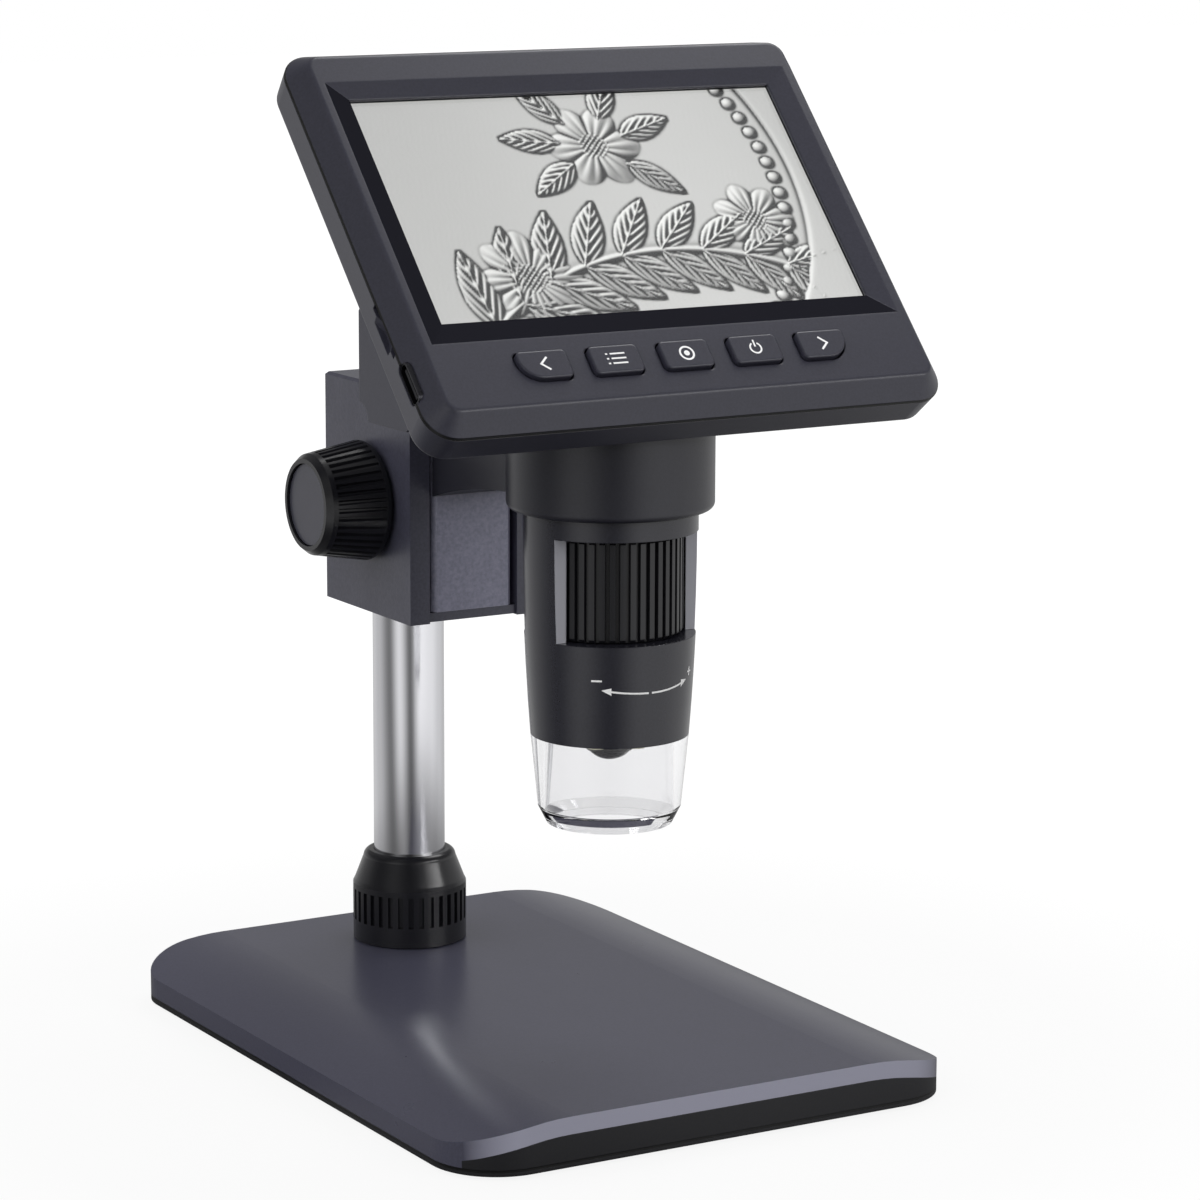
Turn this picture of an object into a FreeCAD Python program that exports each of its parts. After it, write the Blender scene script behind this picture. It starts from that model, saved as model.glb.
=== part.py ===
"""Digital microscope with a built-in screen, on a flat base with a rack-and-pinion head.

Millimetres, +Z up, origin in the middle of the base on the surface it stands on.
The user looks along +Y: the screen faces -Y and up, the column stands at the back.
"""
import FreeCAD, Part
import math
import os
import re

import Sketcher
from FreeCAD import Placement, Rotation, Vector

doc = FreeCAD.newDocument("Microscope")

# Sizes: name, millimetres (or degrees, or a count) or a formula of other sizes, what it is
SIZES = [
    ("base_width", 113.0, "base, left to right"),
    ("base_depth", 153.0, "base, front to back"),
    ("base_height", 10.8, "top of the base along its middle"),
    ("base_flat", 68.0, "width of the level stretch of the base's top"),
    ("base_edge_height", 6.4, "top of the base at its left and right edges"),
    ("base_corner_radius", 14.0, "corners of the base, from above"),
    ("shell_thickness", 3.5, "top shell of the base"),
    ("shell_wall", 2.2, "side walls of the top shell"),
    ("shell_bottom", 1.8, "lower edge of the top shell's side walls"),
    ("tray_bottom", 0.8, "underside of the base tray above the table"),
    ("tray_floor", 2.2, "thickness of the tray's floor"),
    ("plate_side", 14.5, "steel weight inside the base's left and right edges"),
    ("plate_end", 10.5, "steel weight inside the base's front and back edges"),
    ("plate_width", "base_width - 2 * plate_side", "steel weight, left to right"),
    ("plate_depth", "base_depth - 2 * plate_end", "steel weight, front to back"),
    ("plate_thickness", 3.0, "steel weight"),
    ("foot_radius", 6.0, "rubber foot"),
    ("foot_height", 1.6, "rubber foot, half of it let into the tray"),
    ("foot_inset", 12.5, "foot centre from the base's edges"),
    ("base_screw_x", 30.0, "base screws from the middle, sideways"),
    ("base_screw_inset", 5.5, "base screws from the front and back edges"),
    ("base_screw_radius", 1.4, "base screw shank"),
    ("base_screw_head", 2.7, "base screw head radius"),
    ("column_inset", 23.2, "column axis in front of the base's back edge"),
    ("column_y", "base_depth / 2 - column_inset", "column axis behind the middle of the base"),
    ("column_radius", 7.7, "column tube, outside"),
    ("column_wall", 1.5, "column tube wall"),
    ("column_top", 103.5, "upper end of the column tube"),
    ("running_gap", 0.05, "radial clearance of turning and sliding fits"),
    ("part_gap", 0.3, "clearance between pieces that move past each other"),
    ("socket_radius", 9.6, "sleeve that holds the column's foot"),
    ("socket_top", 27.3, "upper end of the sleeve"),
    ("socket_flange", 11.5, "flange of the sleeve, radius"),
    ("socket_floor", 2.0, "floor of the sleeve under the column"),
    ("pivot_radius", 2.0, "screw under the column, shank radius"),
    ("pivot_head", 4.5, "screw under the column, head radius"),
    ("pivot_lift", 0.2, "screw head above the tray's underside"),
    ("pivot_length", 16.8, "screw under the column, end to end"),
    ("plug_length", 12.0, "plug in the column's foot"),
    ("collar_radius", 12.3, "lock collar, outside"),
    ("collar_band", 4.6, "smooth band below the collar's ribs"),
    ("collar_rib_length", 6.8, "ribs of the collar"),
    ("collar_shoulder", 24.2, "height where the collar's cone starts"),
    ("collar_top", 30.6, "upper end of the collar"),
    ("collar_neck", 9.6, "collar radius at its upper end"),
    ("collar_ribs", 34, "ribs round the collar"),
    ("collar_groove", 0.8, "depth of the grooves between the ribs"),
    ("collar_notch", 0.55, "half width of those grooves"),
    ("collar_edge", 0.8, "bevel at the collar's shoulder"),
    ("collar_round", 1.6, "rounding of the collar's upper end"),
    ("block_width", 30.0, "carriage housing, left to right"),
    ("block_reach", 29.5, "front of the carriage housing before the column axis"),
    ("block_wall", 1.2, "wall of the housing behind the column"),
    ("block_front", "column_y - block_reach", "front of the carriage housing"),
    ("block_back", "column_y + column_radius + block_wall", "back of the carriage housing"),
    ("block_bottom", 86.2, "underside of the carriage housing"),
    ("block_top", 135.1, "top of the carriage housing"),
    ("block_chamfer", 0.6, "edge round the housing's top"),
    ("channel_width", 20.8, "channel for the slide in the housing's front"),
    ("channel_depth", 8.5, "channel, front to back"),
    ("groove_width", 26.4, "guide grooves, outside to outside"),
    ("groove_front", 4.2, "guide grooves behind the housing's front"),
    ("groove_height", 4.0, "guide grooves, front to back"),
    ("gib_thickness", 0.9, "brass guide strips"),
    ("lip_thickness", 1.9, "plate that closes the channel's foot"),
    ("lip_recess", 0.8, "the plate's setback from the housing's front"),
    ("lip_lift", 0.2, "the plate above the housing's underside"),
    ("clamp_radius", 2.0, "screw that holds the column in the housing"),
    ("clamp_height", 9.0, "that screw above the housing's underside"),
    ("clamp_setback", 0.5, "that screw's end inside the housing's side"),
    ("slide_width", 18.8, "front pad of the slide"),
    ("slide_setback", 0.4, "slide behind the housing's front"),
    ("slide_bevel", 1.0, "bevel along the slide's front edges"),
    ("lift_travel", 18.0, "how far the head rises"),
    ("shaft_reach", 11.2, "focus shaft axis in front of the column axis"),
    ("shaft_y", "column_y - shaft_reach", "focus shaft axis"),
    ("rack_spare", 4.2, "rack below the shaft axis with the head at the top"),
    ("shaft_z", "block_bottom + lip_thickness + lift_travel + rack_spare", "focus shaft axis height"),
    ("shaft_radius", 3.0, "focus shaft"),
    ("bush_radius", 4.5, "bronze bushes of the shaft, outside"),
    ("bush_length", 6.0, "bronze bushes"),
    ("gear_module", 0.8, "module of the rack and pinion"),
    ("gear_teeth", 12, "teeth of the pinion"),
    ("gear_width", 7.0, "face width of the rack and pinion"),
    ("gear_addendum", 0.62, "tooth height outside the pitch line"),
    ("gear_dedendum", 1.0, "tooth height inside the pitch line"),
    ("gear_backlash", 0.14, "thinning of each tooth at the pitch line"),
    ("gear_sink", 0.2, "foot of each tooth inside its body"),
    ("rack_flare", 0.364, "slope of the rack's flanks"),
    ("pinion_flare", 0.42, "slope that stands for the pinion's curved flanks"),
    ("knob_start", 15.4, "inner end of each knob from the middle"),
    ("knob_length", 14.6, "knob, end to end"),
    ("knob_inner_radius", 12.7, "knob at its inner end"),
    ("knob_outer_radius", 10.7, "knob at its outer end"),
    ("knob_ribs", 40, "ribs round each knob"),
    ("knob_groove", 0.55, "depth of the grooves between the ribs"),
    ("knob_notch_floor", 0.18, "half width of those grooves at their floor"),
    ("knob_notch_mouth", 0.75, "half width of those grooves outside the knob"),
    ("knob_notch_start", 1.9, "grooves from the knob's inner end"),
    ("knob_notch_end", 2.4, "grooves from the knob's outer end"),
    ("knob_round", 1.7, "rounding of each knob's inner end"),
    ("knob_rim", 1.3, "bevel at each knob's outer end"),
    ("cap_gap", 0.2, "groove round the inset disc"),
    ("cap_sink", 0.6, "inset disc below the knob's end"),
    ("cap_radius", 8.5, "inset disc on each knob"),
    ("cap_thickness", 1.2, "inset disc"),
    ("arm_width", 19.0, "arm between slide and ring"),
    ("arm_bottom", 113.0, "underside of the arm at the slide"),
    ("arm_top", 133.8, "top of the arm at the slide"),
    ("arm_screw_x", 6.5, "arm screws from the middle"),
    ("arm_screw_inset", 5.0, "arm screws from the arm's top and underside"),
    ("arm_screw_radius", 1.5, "arm screw shank"),
    ("arm_screw_head", 2.7, "arm screw head radius"),
    ("arm_screw_sink", 2.0, "arm screw head, let into the slide"),
    ("arm_screw_length", 11.0, "arm screw, end to end"),
    ("arm_sink", 3.0, "end of the arm inside the ring"),
    ("arm_drop", 1.0, "top of the arm below the ring's top"),
    ("arm_lift", 0.4, "underside of the arm above the ring's"),
    ("optic_reach", 85.6, "barrel axis in front of the column axis"),
    ("optic_y", "column_y - optic_reach", "barrel axis in front of the middle of the base"),
    ("ring_radius", 20.65, "ring that holds the barrel"),
    ("ring_bottom", 118.3, "underside of the ring"),
    ("ring_top", 140.2, "top of the ring, under the display"),
    ("ring_round", 1.5, "rounding of the ring's lower edge"),
    ("ring_screw_radius", 1.5, "screw that holds the barrel in the ring"),
    ("barrel_radius", 17.46, "barrel at its neck"),
    ("barrel_foot_radius", 15.8, "barrel at its lower end"),
    ("barrel_bottom", 73.0, "lower end of the barrel"),
    ("barrel_top", 148.5, "upper end of the barrel inside the display"),
    ("barrel_wall", 2.6, "barrel wall above the sensor"),
    ("barrel_taper_top", 114.5, "height where the barrel starts to narrow"),
    ("window_bottom", 93.4, "focus wheel window"),
    ("window_top", 114.1, "focus wheel window"),
    ("window_plane", 6.3, "flat of the window in front of the barrel axis"),
    ("wheel_radius", 14.5, "focus wheel"),
    ("wheel_ribs", 44, "ribs round the focus wheel"),
    ("wheel_groove", 0.9, "depth of the grooves between the ribs"),
    ("wheel_notch_floor", 0.35, "half width of those grooves at their floor"),
    ("wheel_notch_mouth", 0.6, "half width of those grooves outside the wheel"),
    ("wheel_edge", 0.6, "bevel at the wheel's ends"),
    ("wheel_room", 0.5, "room round the wheel in the barrel"),
    ("cell_radius", 11.0, "lens cell"),
    ("cell_room", 1.7, "lens cell above the lamp board at its lowest"),
    ("cell_bottom", "led_board_top + cell_travel + cell_room", "lens cell shoulder"),
    ("cell_floor", 2.0, "shoulder of the lens cell, thickness"),
    ("cell_top", 108.0, "upper end of the lens cell"),
    ("cell_bore", 8.0, "inside of the lens cell"),
    ("cell_travel", 2.5, "lens cell, each way"),
    ("nose_radius", 5.2, "nose of the lens cell"),
    ("nose_bottom", 70.5, "lower end of the nose"),
    ("nose_edge", 0.8, "bevel at the nose's end"),
    ("nose_room", 1.2, "room round the nose in the lamp board"),
    ("lens_radius", 3.9, "objective lens"),
    ("lens_thickness", 2.0, "objective lens"),
    ("led_count", 8, "lamps round the lens"),
    ("led_circle", 9.9, "radius of the ring of lamps"),
    ("led_radius", 1.5, "one lamp"),
    ("led_height", 2.0, "one lamp below its board"),
    ("led_board_top", 75.8, "top of the lamp board"),
    ("board_thickness", 1.6, "circuit boards"),
    ("cap_wall", 1.6, "clear cap wall"),
    ("cap_bottom", 55.0, "lower end of the clear cap"),
    ("cap_bevel_height", 3.3, "bevel at the foot of the clear cap"),
    ("cap_foot_radius", 12.6, "clear cap at its very foot"),
    ("cap_waist_radius", 14.28, "clear cap above the bevel"),
    ("cap_opening", 10.4, "hole in the foot of the clear cap"),
    ("sensor_shelf", 126.0, "shelf in the barrel that carries the sensor board"),
    ("sensor_size", 8.0, "image sensor, each way"),
    ("sensor_thickness", 1.5, "image sensor"),
    ("screen_z", 179.0, "middle of the screen"),
    ("screen_tilt", 43.37, "screen leans back from upright, degrees"),
    ("screen_width", 95.04, "picture area of a 4.3 inch panel"),
    ("screen_height", 53.86, "picture area"),
    ("bevel_side", 4.48, "bevel beside the screen"),
    ("bevel_above", 3.57, "bevel above the screen"),
    ("bevel_below", 5.27, "bevel below the screen"),
    ("bevel_half_width", "screen_width / 2 + bevel_side", "outer edge of the bevel"),
    ("bevel_up", "screen_height / 2 + bevel_above", "outer edge of the bevel above the middle"),
    ("bevel_down", "screen_height / 2 + bevel_below", "outer edge of the bevel below the middle"),
    ("face_out", 1.2, "front face in front of the screen"),
    ("face_side", 1.8, "front face beside the bevel"),
    ("face_above", 6.3, "front face above the bevel"),
    ("face_below", 15.2, "front face below the bevel"),
    ("face_half_width", "bevel_half_width + face_side", "front face from the middle"),
    ("face_up", "bevel_up + face_above", "front face above the screen's middle"),
    ("face_down", "bevel_down + face_below", "front face below the screen's middle"),
    ("edge_round", 1.0, "rounding of the front face's edge"),
    ("parting_in", 3.1, "seam of the display behind the screen"),
    ("case_flare", 3.7, "how far the seam stands outside the front face"),
    ("case_corner", 6.5, "corner radius of the display at its seam"),
    ("rear_in", 10.7, "back of the display behind the screen"),
    ("rear_draft", 0.8, "how far the display's back is smaller than its seam"),
    ("rear_round", 1.2, "rounding of the display's back edges"),
    ("case_wall", 1.5, "back wall of the display"),
    ("case_side", 2.6, "side walls of the display at its seam"),
    ("lip_in", 0.6, "bezel lip in front of the clear window"),
    ("window_thickness", 0.8, "clear window over the screen"),
    ("window_margin", 2.5, "clear window beyond the picture"),
    ("panel_side", 5.18, "LCD module beside the picture"),
    ("panel_above", 5.47, "LCD module above the picture"),
    ("panel_below", 7.87, "LCD module below the picture"),
    ("panel_width", "screen_width + 2 * panel_side", "LCD module"),
    ("panel_height", "screen_height + panel_above + panel_below", "LCD module"),
    ("panel_thickness", 2.9, "LCD module"),
    ("wedge_behind", 2.6, "upright back of the case's wedge before the barrel axis"),
    ("wedge_back", "optic_y - wedge_behind", "upright back of the case's wedge"),
    ("wedge_top", 160.9, "top of the wedge's upright back"),
    ("wedge_length", 19.1, "wedge's level underside, front to back"),
    ("wedge_front", "wedge_back - wedge_length", "front of the wedge's level underside"),
    ("wedge_wall", 2.0, "walls of the wedge"),
    ("wedge_round", 3.5, "rounding of the wedge's lower back edge"),
    ("hump_radius", 19.0, "housing of the barrel's head behind the display"),
    ("hump_top", 166.0, "top of that housing"),
    ("key_drop", 6.8, "button row below the bevel"),
    ("key_row", "bevel_down + key_drop", "button row below the screen's middle"),
    ("key_pitch", 15.5, "button spacing"),
    ("key_width", 10.6, "one button"),
    ("key_height", 6.2, "one button, along the screen"),
    ("key_rise", 1.0, "buttons above the front face"),
    ("key_round", 1.0, "corners of the buttons"),
    ("key_sweep", 4.6, "large outer corner of the two end buttons"),
    ("key_gap", 0.4, "gap round each button"),
    ("key_flange", 0.8, "flange behind the face, beyond the button"),
    ("key_flange_thickness", 0.9, "that flange"),
    ("key_edge", 0.35, "rounding of the buttons' edges"),
    ("key_rest", 0.1, "button above its switch with the button pressed"),
    ("key_travel", 0.6, "button stroke"),
    ("switch_size", 4.5, "switch under each button"),
    ("switch_height", 0.6, "switch body"),
    ("switch_stem", 1.1, "plunger radius"),
    ("key_board_gap", 3.6, "back of the button board behind the bezel"),
    ("key_board_thickness", 1.0, "button board"),
    ("key_board_margin", 6.0, "button board beyond the outer buttons' middles"),
    ("key_board_above", 2.2, "button board above the row"),
    ("key_board_below", 7.4, "button board below the row"),
    ("key_post_x", 24.0, "posts under the button board, from the middle"),
    ("key_post_drop", 6.2, "those posts below the row"),
    ("key_post_radius", 1.5, "those posts"),
    ("board_width", 100.0, "main board"),
    ("board_height", 58.0, "main board"),
    ("board_post_x", 40.0, "posts under the main board, from the middle"),
    ("board_post_up", 26.0, "upper posts above the screen's middle"),
    ("board_post_down", 8.0, "lower posts below the screen's middle"),
    ("board_post_radius", 2.0, "those posts"),
    ("chip_size", 12.0, "largest chip on the main board"),
    ("chip_thickness", 1.1, "chips"),
    ("port_low", 42.3, "charging port, lower end below the middle"),
    ("port_high", 33.3, "charging port, upper end below the middle"),
    ("port_thickness", 3.2, "charging port"),
    ("port_depth", 4.0, "charging port, into the case"),
    ("port_wall", 0.4, "charging port's metal wall, and its setback from the case"),
    ("port_tongue", 0.7, "tongue in the charging port"),
    ("port_tongue_gap", 1.2, "tongue from the port's ends"),
    ("slot_low", 30.9, "memory card slot, lower end below the middle"),
    ("slot_high", 19.1, "memory card slot, upper end below the middle"),
    ("slot_thickness", 1.4, "memory card slot"),
    ("scoop_radius", 6.5, "finger scoop at the card slot"),
    ("scoop_depth", 1.6, "finger scoop"),
    ("scoop_drop", 3.0, "finger scoop, from the seam backwards"),
    ("reader_depth", 13.0, "memory card reader, into the case"),
    ("reader_thickness", 1.3, "memory card reader"),
    ("cell_diameter", 10.0, "battery cells in the wedge"),
    ("cell_length", 34.0, "battery cells"),
    ("cover_screw_x", 48.6, "case screws from the middle"),
    ("cover_screw_up", 35.0, "upper case screws"),
    ("cover_screw_down", 46.0, "lower case screws"),
    ("cover_boss", 2.4, "posts of the case screws"),
    ("cover_screw_radius", 1.0, "case screw shank"),
    ("cover_screw_head", 1.9, "case screw head radius"),
    ("cover_screw_cap", 1.0, "case screw head, height"),
    ("cut_spare", 2.0, "how far a cut runs past what it cuts"),
]

sheet = doc.addObject("Spreadsheet::Sheet", "Sizes")
for row, (alias, number, note) in enumerate(SIZES, start=1):
    sheet.set(f"A{row}", note)
    sheet.setAlias(f"B{row}", alias)
for row, (alias, number, note) in enumerate(SIZES, start=1):
    sheet.set(f"B{row}", f"={number}")
doc.recompute()

# Every alias has an underscore, so a formula can name it without its sheet
ALIAS = re.compile(r"[a-z]+(?:_[a-z]+)+")
PIECES = []


def formula(text):
    """The expression as the document needs it, with the sheet's name before each alias."""
    return ALIAS.sub(lambda found: "Sizes." + found.group(0), text)


def value(text):
    """What a formula comes to now."""
    return float(sheet.evalExpression(formula(text)))


def bind(item, **formulas):
    """Tie properties of an object to formulas of the sheet."""
    for name, text in formulas.items():
        item.setExpression(name, formula(text))
    return item


def place(item, x="0", y="0", z="0", axis=None, angle="0"):
    """Put an object at a point, turned about an axis."""
    turn = Rotation(Vector(*axis), value(angle)) if axis else Rotation()
    item.Placement = Placement(Vector(value(x), value(y), value(z)), turn)
    for letter, text in (("x", x), ("y", y), ("z", z)):
        item.setExpression("Placement.Base." + letter, formula(text))
    if axis:
        item.setExpression("Placement.Rotation.Angle", formula(angle))
    return item


def on_screen(item, x="0", up="0", out="0"):
    """Put an object in the display's tilted frame: up along the screen, out towards the user."""
    y = f"optic_y + ({up}) * sin(screen_tilt) - ({out}) * cos(screen_tilt)"
    z = f"screen_z + ({up}) * cos(screen_tilt) + ({out}) * sin(screen_tilt)"
    return place(item, x, y, z, (1, 0, 0), "90 - screen_tilt")


def keep(item, label):
    """Name an object as one of the finished pieces."""
    item.Label = label
    PIECES.append(item)
    return item


def cylinder(radius, height):
    return bind(doc.addObject("Part::Cylinder", "Round"), Radius=radius, Height=height)


def box(length, width, height):
    return bind(doc.addObject("Part::Box", "Block"), Length=length, Width=width, Height=height)


def rod(radius, height, x="0", y="0", z="0", axis=None, angle="0"):
    return place(cylinder(radius, height), x, y, z, axis, angle)


def fuse(*shapes):
    item = doc.addObject("Part::MultiFuse", "Joined")
    item.Shapes = list(shapes)
    return item


def cut(base, *tools):
    item = doc.addObject("Part::Cut", "Trimmed")
    item.Base = base
    item.Tool = tools[0] if len(tools) == 1 else fuse(*tools)
    return item


def group(label, shapes):
    """Loose solids that share one name."""
    item = doc.addObject("Part::Compound", "Group")
    item.Links = shapes
    return keep(item, label)


def body(label):
    return keep(doc.addObject("PartDesign::Body", label), label)


def sketch(item, role, offset="0", lean=None):
    """A sketch on one of the body's own planes, moved along its normal."""
    made = item.newObject("Sketcher::SketchObject", "Outline")
    plane = next(part for part in item.Origin.OriginFeatures if part.Role == role)
    made.AttachmentSupport = (plane, [""])
    made.MapMode = "FlatFace"
    if lean:
        made.AttachmentOffset = Placement(Vector(), Rotation(Vector(1, 0, 0), value(lean[2])))
        made.setExpression("AttachmentOffset.Base.y", formula(lean[0]))
        made.setExpression("AttachmentOffset.Base.z", formula(lean[1]))
        made.setExpression("AttachmentOffset.Rotation.Angle", formula(lean[2]))
    else:
        made.setExpression("AttachmentOffset.Base.z", formula(offset))
    return made


def tie(made, kind, geometry, point, text):
    """Fix one coordinate of a sketch point, counted from the sketch's origin."""
    index = made.addConstraint(Sketcher.Constraint(kind, -1, 1, geometry, point, value(text)))
    made.setExpression(f"Constraints[{index}]", formula(text))


def arc_between(start, end, radius, turn):
    """The short arc between two points: turn 1 runs anticlockwise, -1 clockwise."""
    middle = (start + end) * 0.5
    chord = end - start
    reach = math.sqrt(max(radius * radius - chord.Length * chord.Length / 4, 0))
    side = Vector(-chord.y, chord.x, 0).normalize() * (reach * turn)
    centre = middle + side
    first, last = (start, end) if turn > 0 else (end, start)
    angles = [math.atan2(point.y - centre.y, point.x - centre.x) for point in (first, last)]
    return Part.ArcOfCircle(Part.Circle(centre, Vector(0, 0, 1), radius), *angles)


def loop(made, corners):
    """A closed outline. A corner is (x, y), or (x, y, radius, turn) where an arc follows it."""
    first = made.GeometryCount
    points = [Vector(value(corner[0]), value(corner[1]), 0) for corner in corners]
    starts = []
    for index, corner in enumerate(corners):
        here = points[index]
        after = points[(index + 1) % len(points)]
        if len(corner) == 2:
            made.addGeometry(Part.LineSegment(here, after))
            starts.append((1, 2))
        else:
            made.addGeometry(arc_between(here, after, value(corner[2]), corner[3]))
            starts.append((1, 2) if corner[3] > 0 else (2, 1))
    for index, corner in enumerate(corners):
        other = (index + 1) % len(corners)
        made.addConstraint(Sketcher.Constraint(
            "Coincident", first + index, starts[index][1], first + other, starts[other][0]))
        tie(made, "DistanceX", first + index, starts[index][0], corner[0])
        tie(made, "DistanceY", first + index, starts[index][0], corner[1])
        if len(corner) > 2:
            mark = made.addConstraint(Sketcher.Constraint("Radius", first + index, value(corner[2])))
            made.setExpression(f"Constraints[{mark}]", formula(corner[2]))
    return made


def ring(made, x, y, radius):
    """A full circle."""
    index = made.addGeometry(Part.Circle(Vector(value(x), value(y), 0), Vector(0, 0, 1), value(radius)))
    tie(made, "DistanceX", index, 3, x)
    tie(made, "DistanceY", index, 3, y)
    mark = made.addConstraint(Sketcher.Constraint("Radius", index, value(radius)))
    made.setExpression(f"Constraints[{mark}]", formula(radius))
    return made


def rectangle(left, low, right, high):
    return [(left, low), (right, low), (right, high), (left, high)]


def rounded(left, low, right, high, *radii):
    """A rectangle with round corners: lower left, lower right, upper right, upper left."""
    a, b, c, d = radii if len(radii) == 4 else radii * 4
    return [
        (f"{left} + ({a})", low), (f"{right} - ({b})", low, b, 1),
        (right, f"{low} + ({b})"), (right, f"{high} - ({c})", c, 1),
        (f"{right} - ({c})", high), (f"{left} + ({d})", high, d, 1),
        (left, f"{high} - ({d})"), (left, f"{low} + ({a})", a, 1),
    ]


def feature(item, kind, outline, **settings):
    """Add a feature to a body from an outline."""
    made = item.newObject("PartDesign::" + kind, kind)
    if kind.endswith("Loft"):
        made.Profile = outline[0]
        made.Sections = outline[1:]
        made.Ruled = True
    else:
        made.Profile = outline
    for name, setting in settings.items():
        if isinstance(setting, str) and name in ("Length", "Angle"):
            made.setExpression(name, formula(setting))
        else:
            setattr(made, name, setting)
    item.Tip = made
    return made


def pad(item, outline, length, side="One side", back=False):
    return feature(item, "Pad", outline, Length=length, SideType=side, Reversed=back)


def pocket(item, outline, length, side="One side", back=False):
    """A cut, which has to take something away."""
    doc.recompute()
    before = item.Shape.Volume
    made = feature(item, "Pocket", outline, Length=length, SideType=side, Reversed=back)
    doc.recompute()
    if item.Shape.Volume > before - 1e-6:
        raise RuntimeError(item.Label + ": a pocket takes nothing away")
    return made


def turned(item, corners):
    """A solid of revolution about the body's own upright axis."""
    outline = loop(sketch(item, "XZ_Plane"), corners)
    return feature(item, "Revolution", outline, ReferenceAxis=(outline, ["V_Axis"]), Angle="360")


def around(item, original, outline, count):
    """Repeat a feature round the body's upright axis."""
    made = item.newObject("PartDesign::PolarPattern", "Around")
    made.Originals = [original]
    made.Axis = (outline, ["N_Axis"])
    made.Angle = 360
    made.setExpression("Occurrences", formula(count))
    item.Tip = made
    return made


def dress(item, kind, chosen, **sizes):
    """Fillet or chamfer the edges of the body that a test picks out."""
    doc.recompute()
    base = item.Tip
    names = [f"Edge{n}" for n, edge in enumerate(base.Shape.Edges, start=1) if chosen(edge)]
    made = item.newObject("PartDesign::" + kind, kind)
    made.Base = (base, names)
    bind(made, **sizes)
    item.Tip = made
    doc.recompute()
    return made


def level_at(height, span=None):
    """Test for edges that lie level at a height of the body, on circles of one radius if given."""
    def chosen(edge):
        limits = edge.BoundBox
        if abs(limits.ZMin - height) > 1e-3 or abs(limits.ZMax - height) > 1e-3:
            return False
        return span is None or abs(max(limits.XLength, limits.YLength) - span) < 1e-3
    return chosen


def outside(chosen, name):
    """Of the edges that a test picks out, those beyond a named rectangle."""
    half, up, down = (value(f"{name}_{part}") for part in ("half_width", "up", "down"))

    def beyond(edge):
        limits = edge.BoundBox
        far = max(-limits.XMin, limits.XMax) > half + 0.01
        return chosen(edge) and (far or limits.YMin > up + 0.01 or limits.YMax < -down - 0.01)
    return beyond


HALF = "base_width / 2"
DEEP = "base_depth / 2"
ARCH = "((base_width - base_flat)^2 / 4 + (base_height - base_edge_height)^2)" \
       " / (2 * (base_height - base_edge_height))"
INNER = f"({ARCH} - shell_thickness)"
INNER_HALF = f"({HALF} - shell_wall)"
SCREW_TOP = "(base_height - shell_thickness / 3)"
INNER_EDGE = f"(base_height - {ARCH} + sqrt({INNER}^2 - ({INNER_HALF} - base_flat / 2)^2))"


def base_outline(item, offset):
    return loop(sketch(item, "XY_Plane", offset),
                rounded(f"-{HALF}", f"-{DEEP}", HALF, DEEP, "base_corner_radius"))


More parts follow.
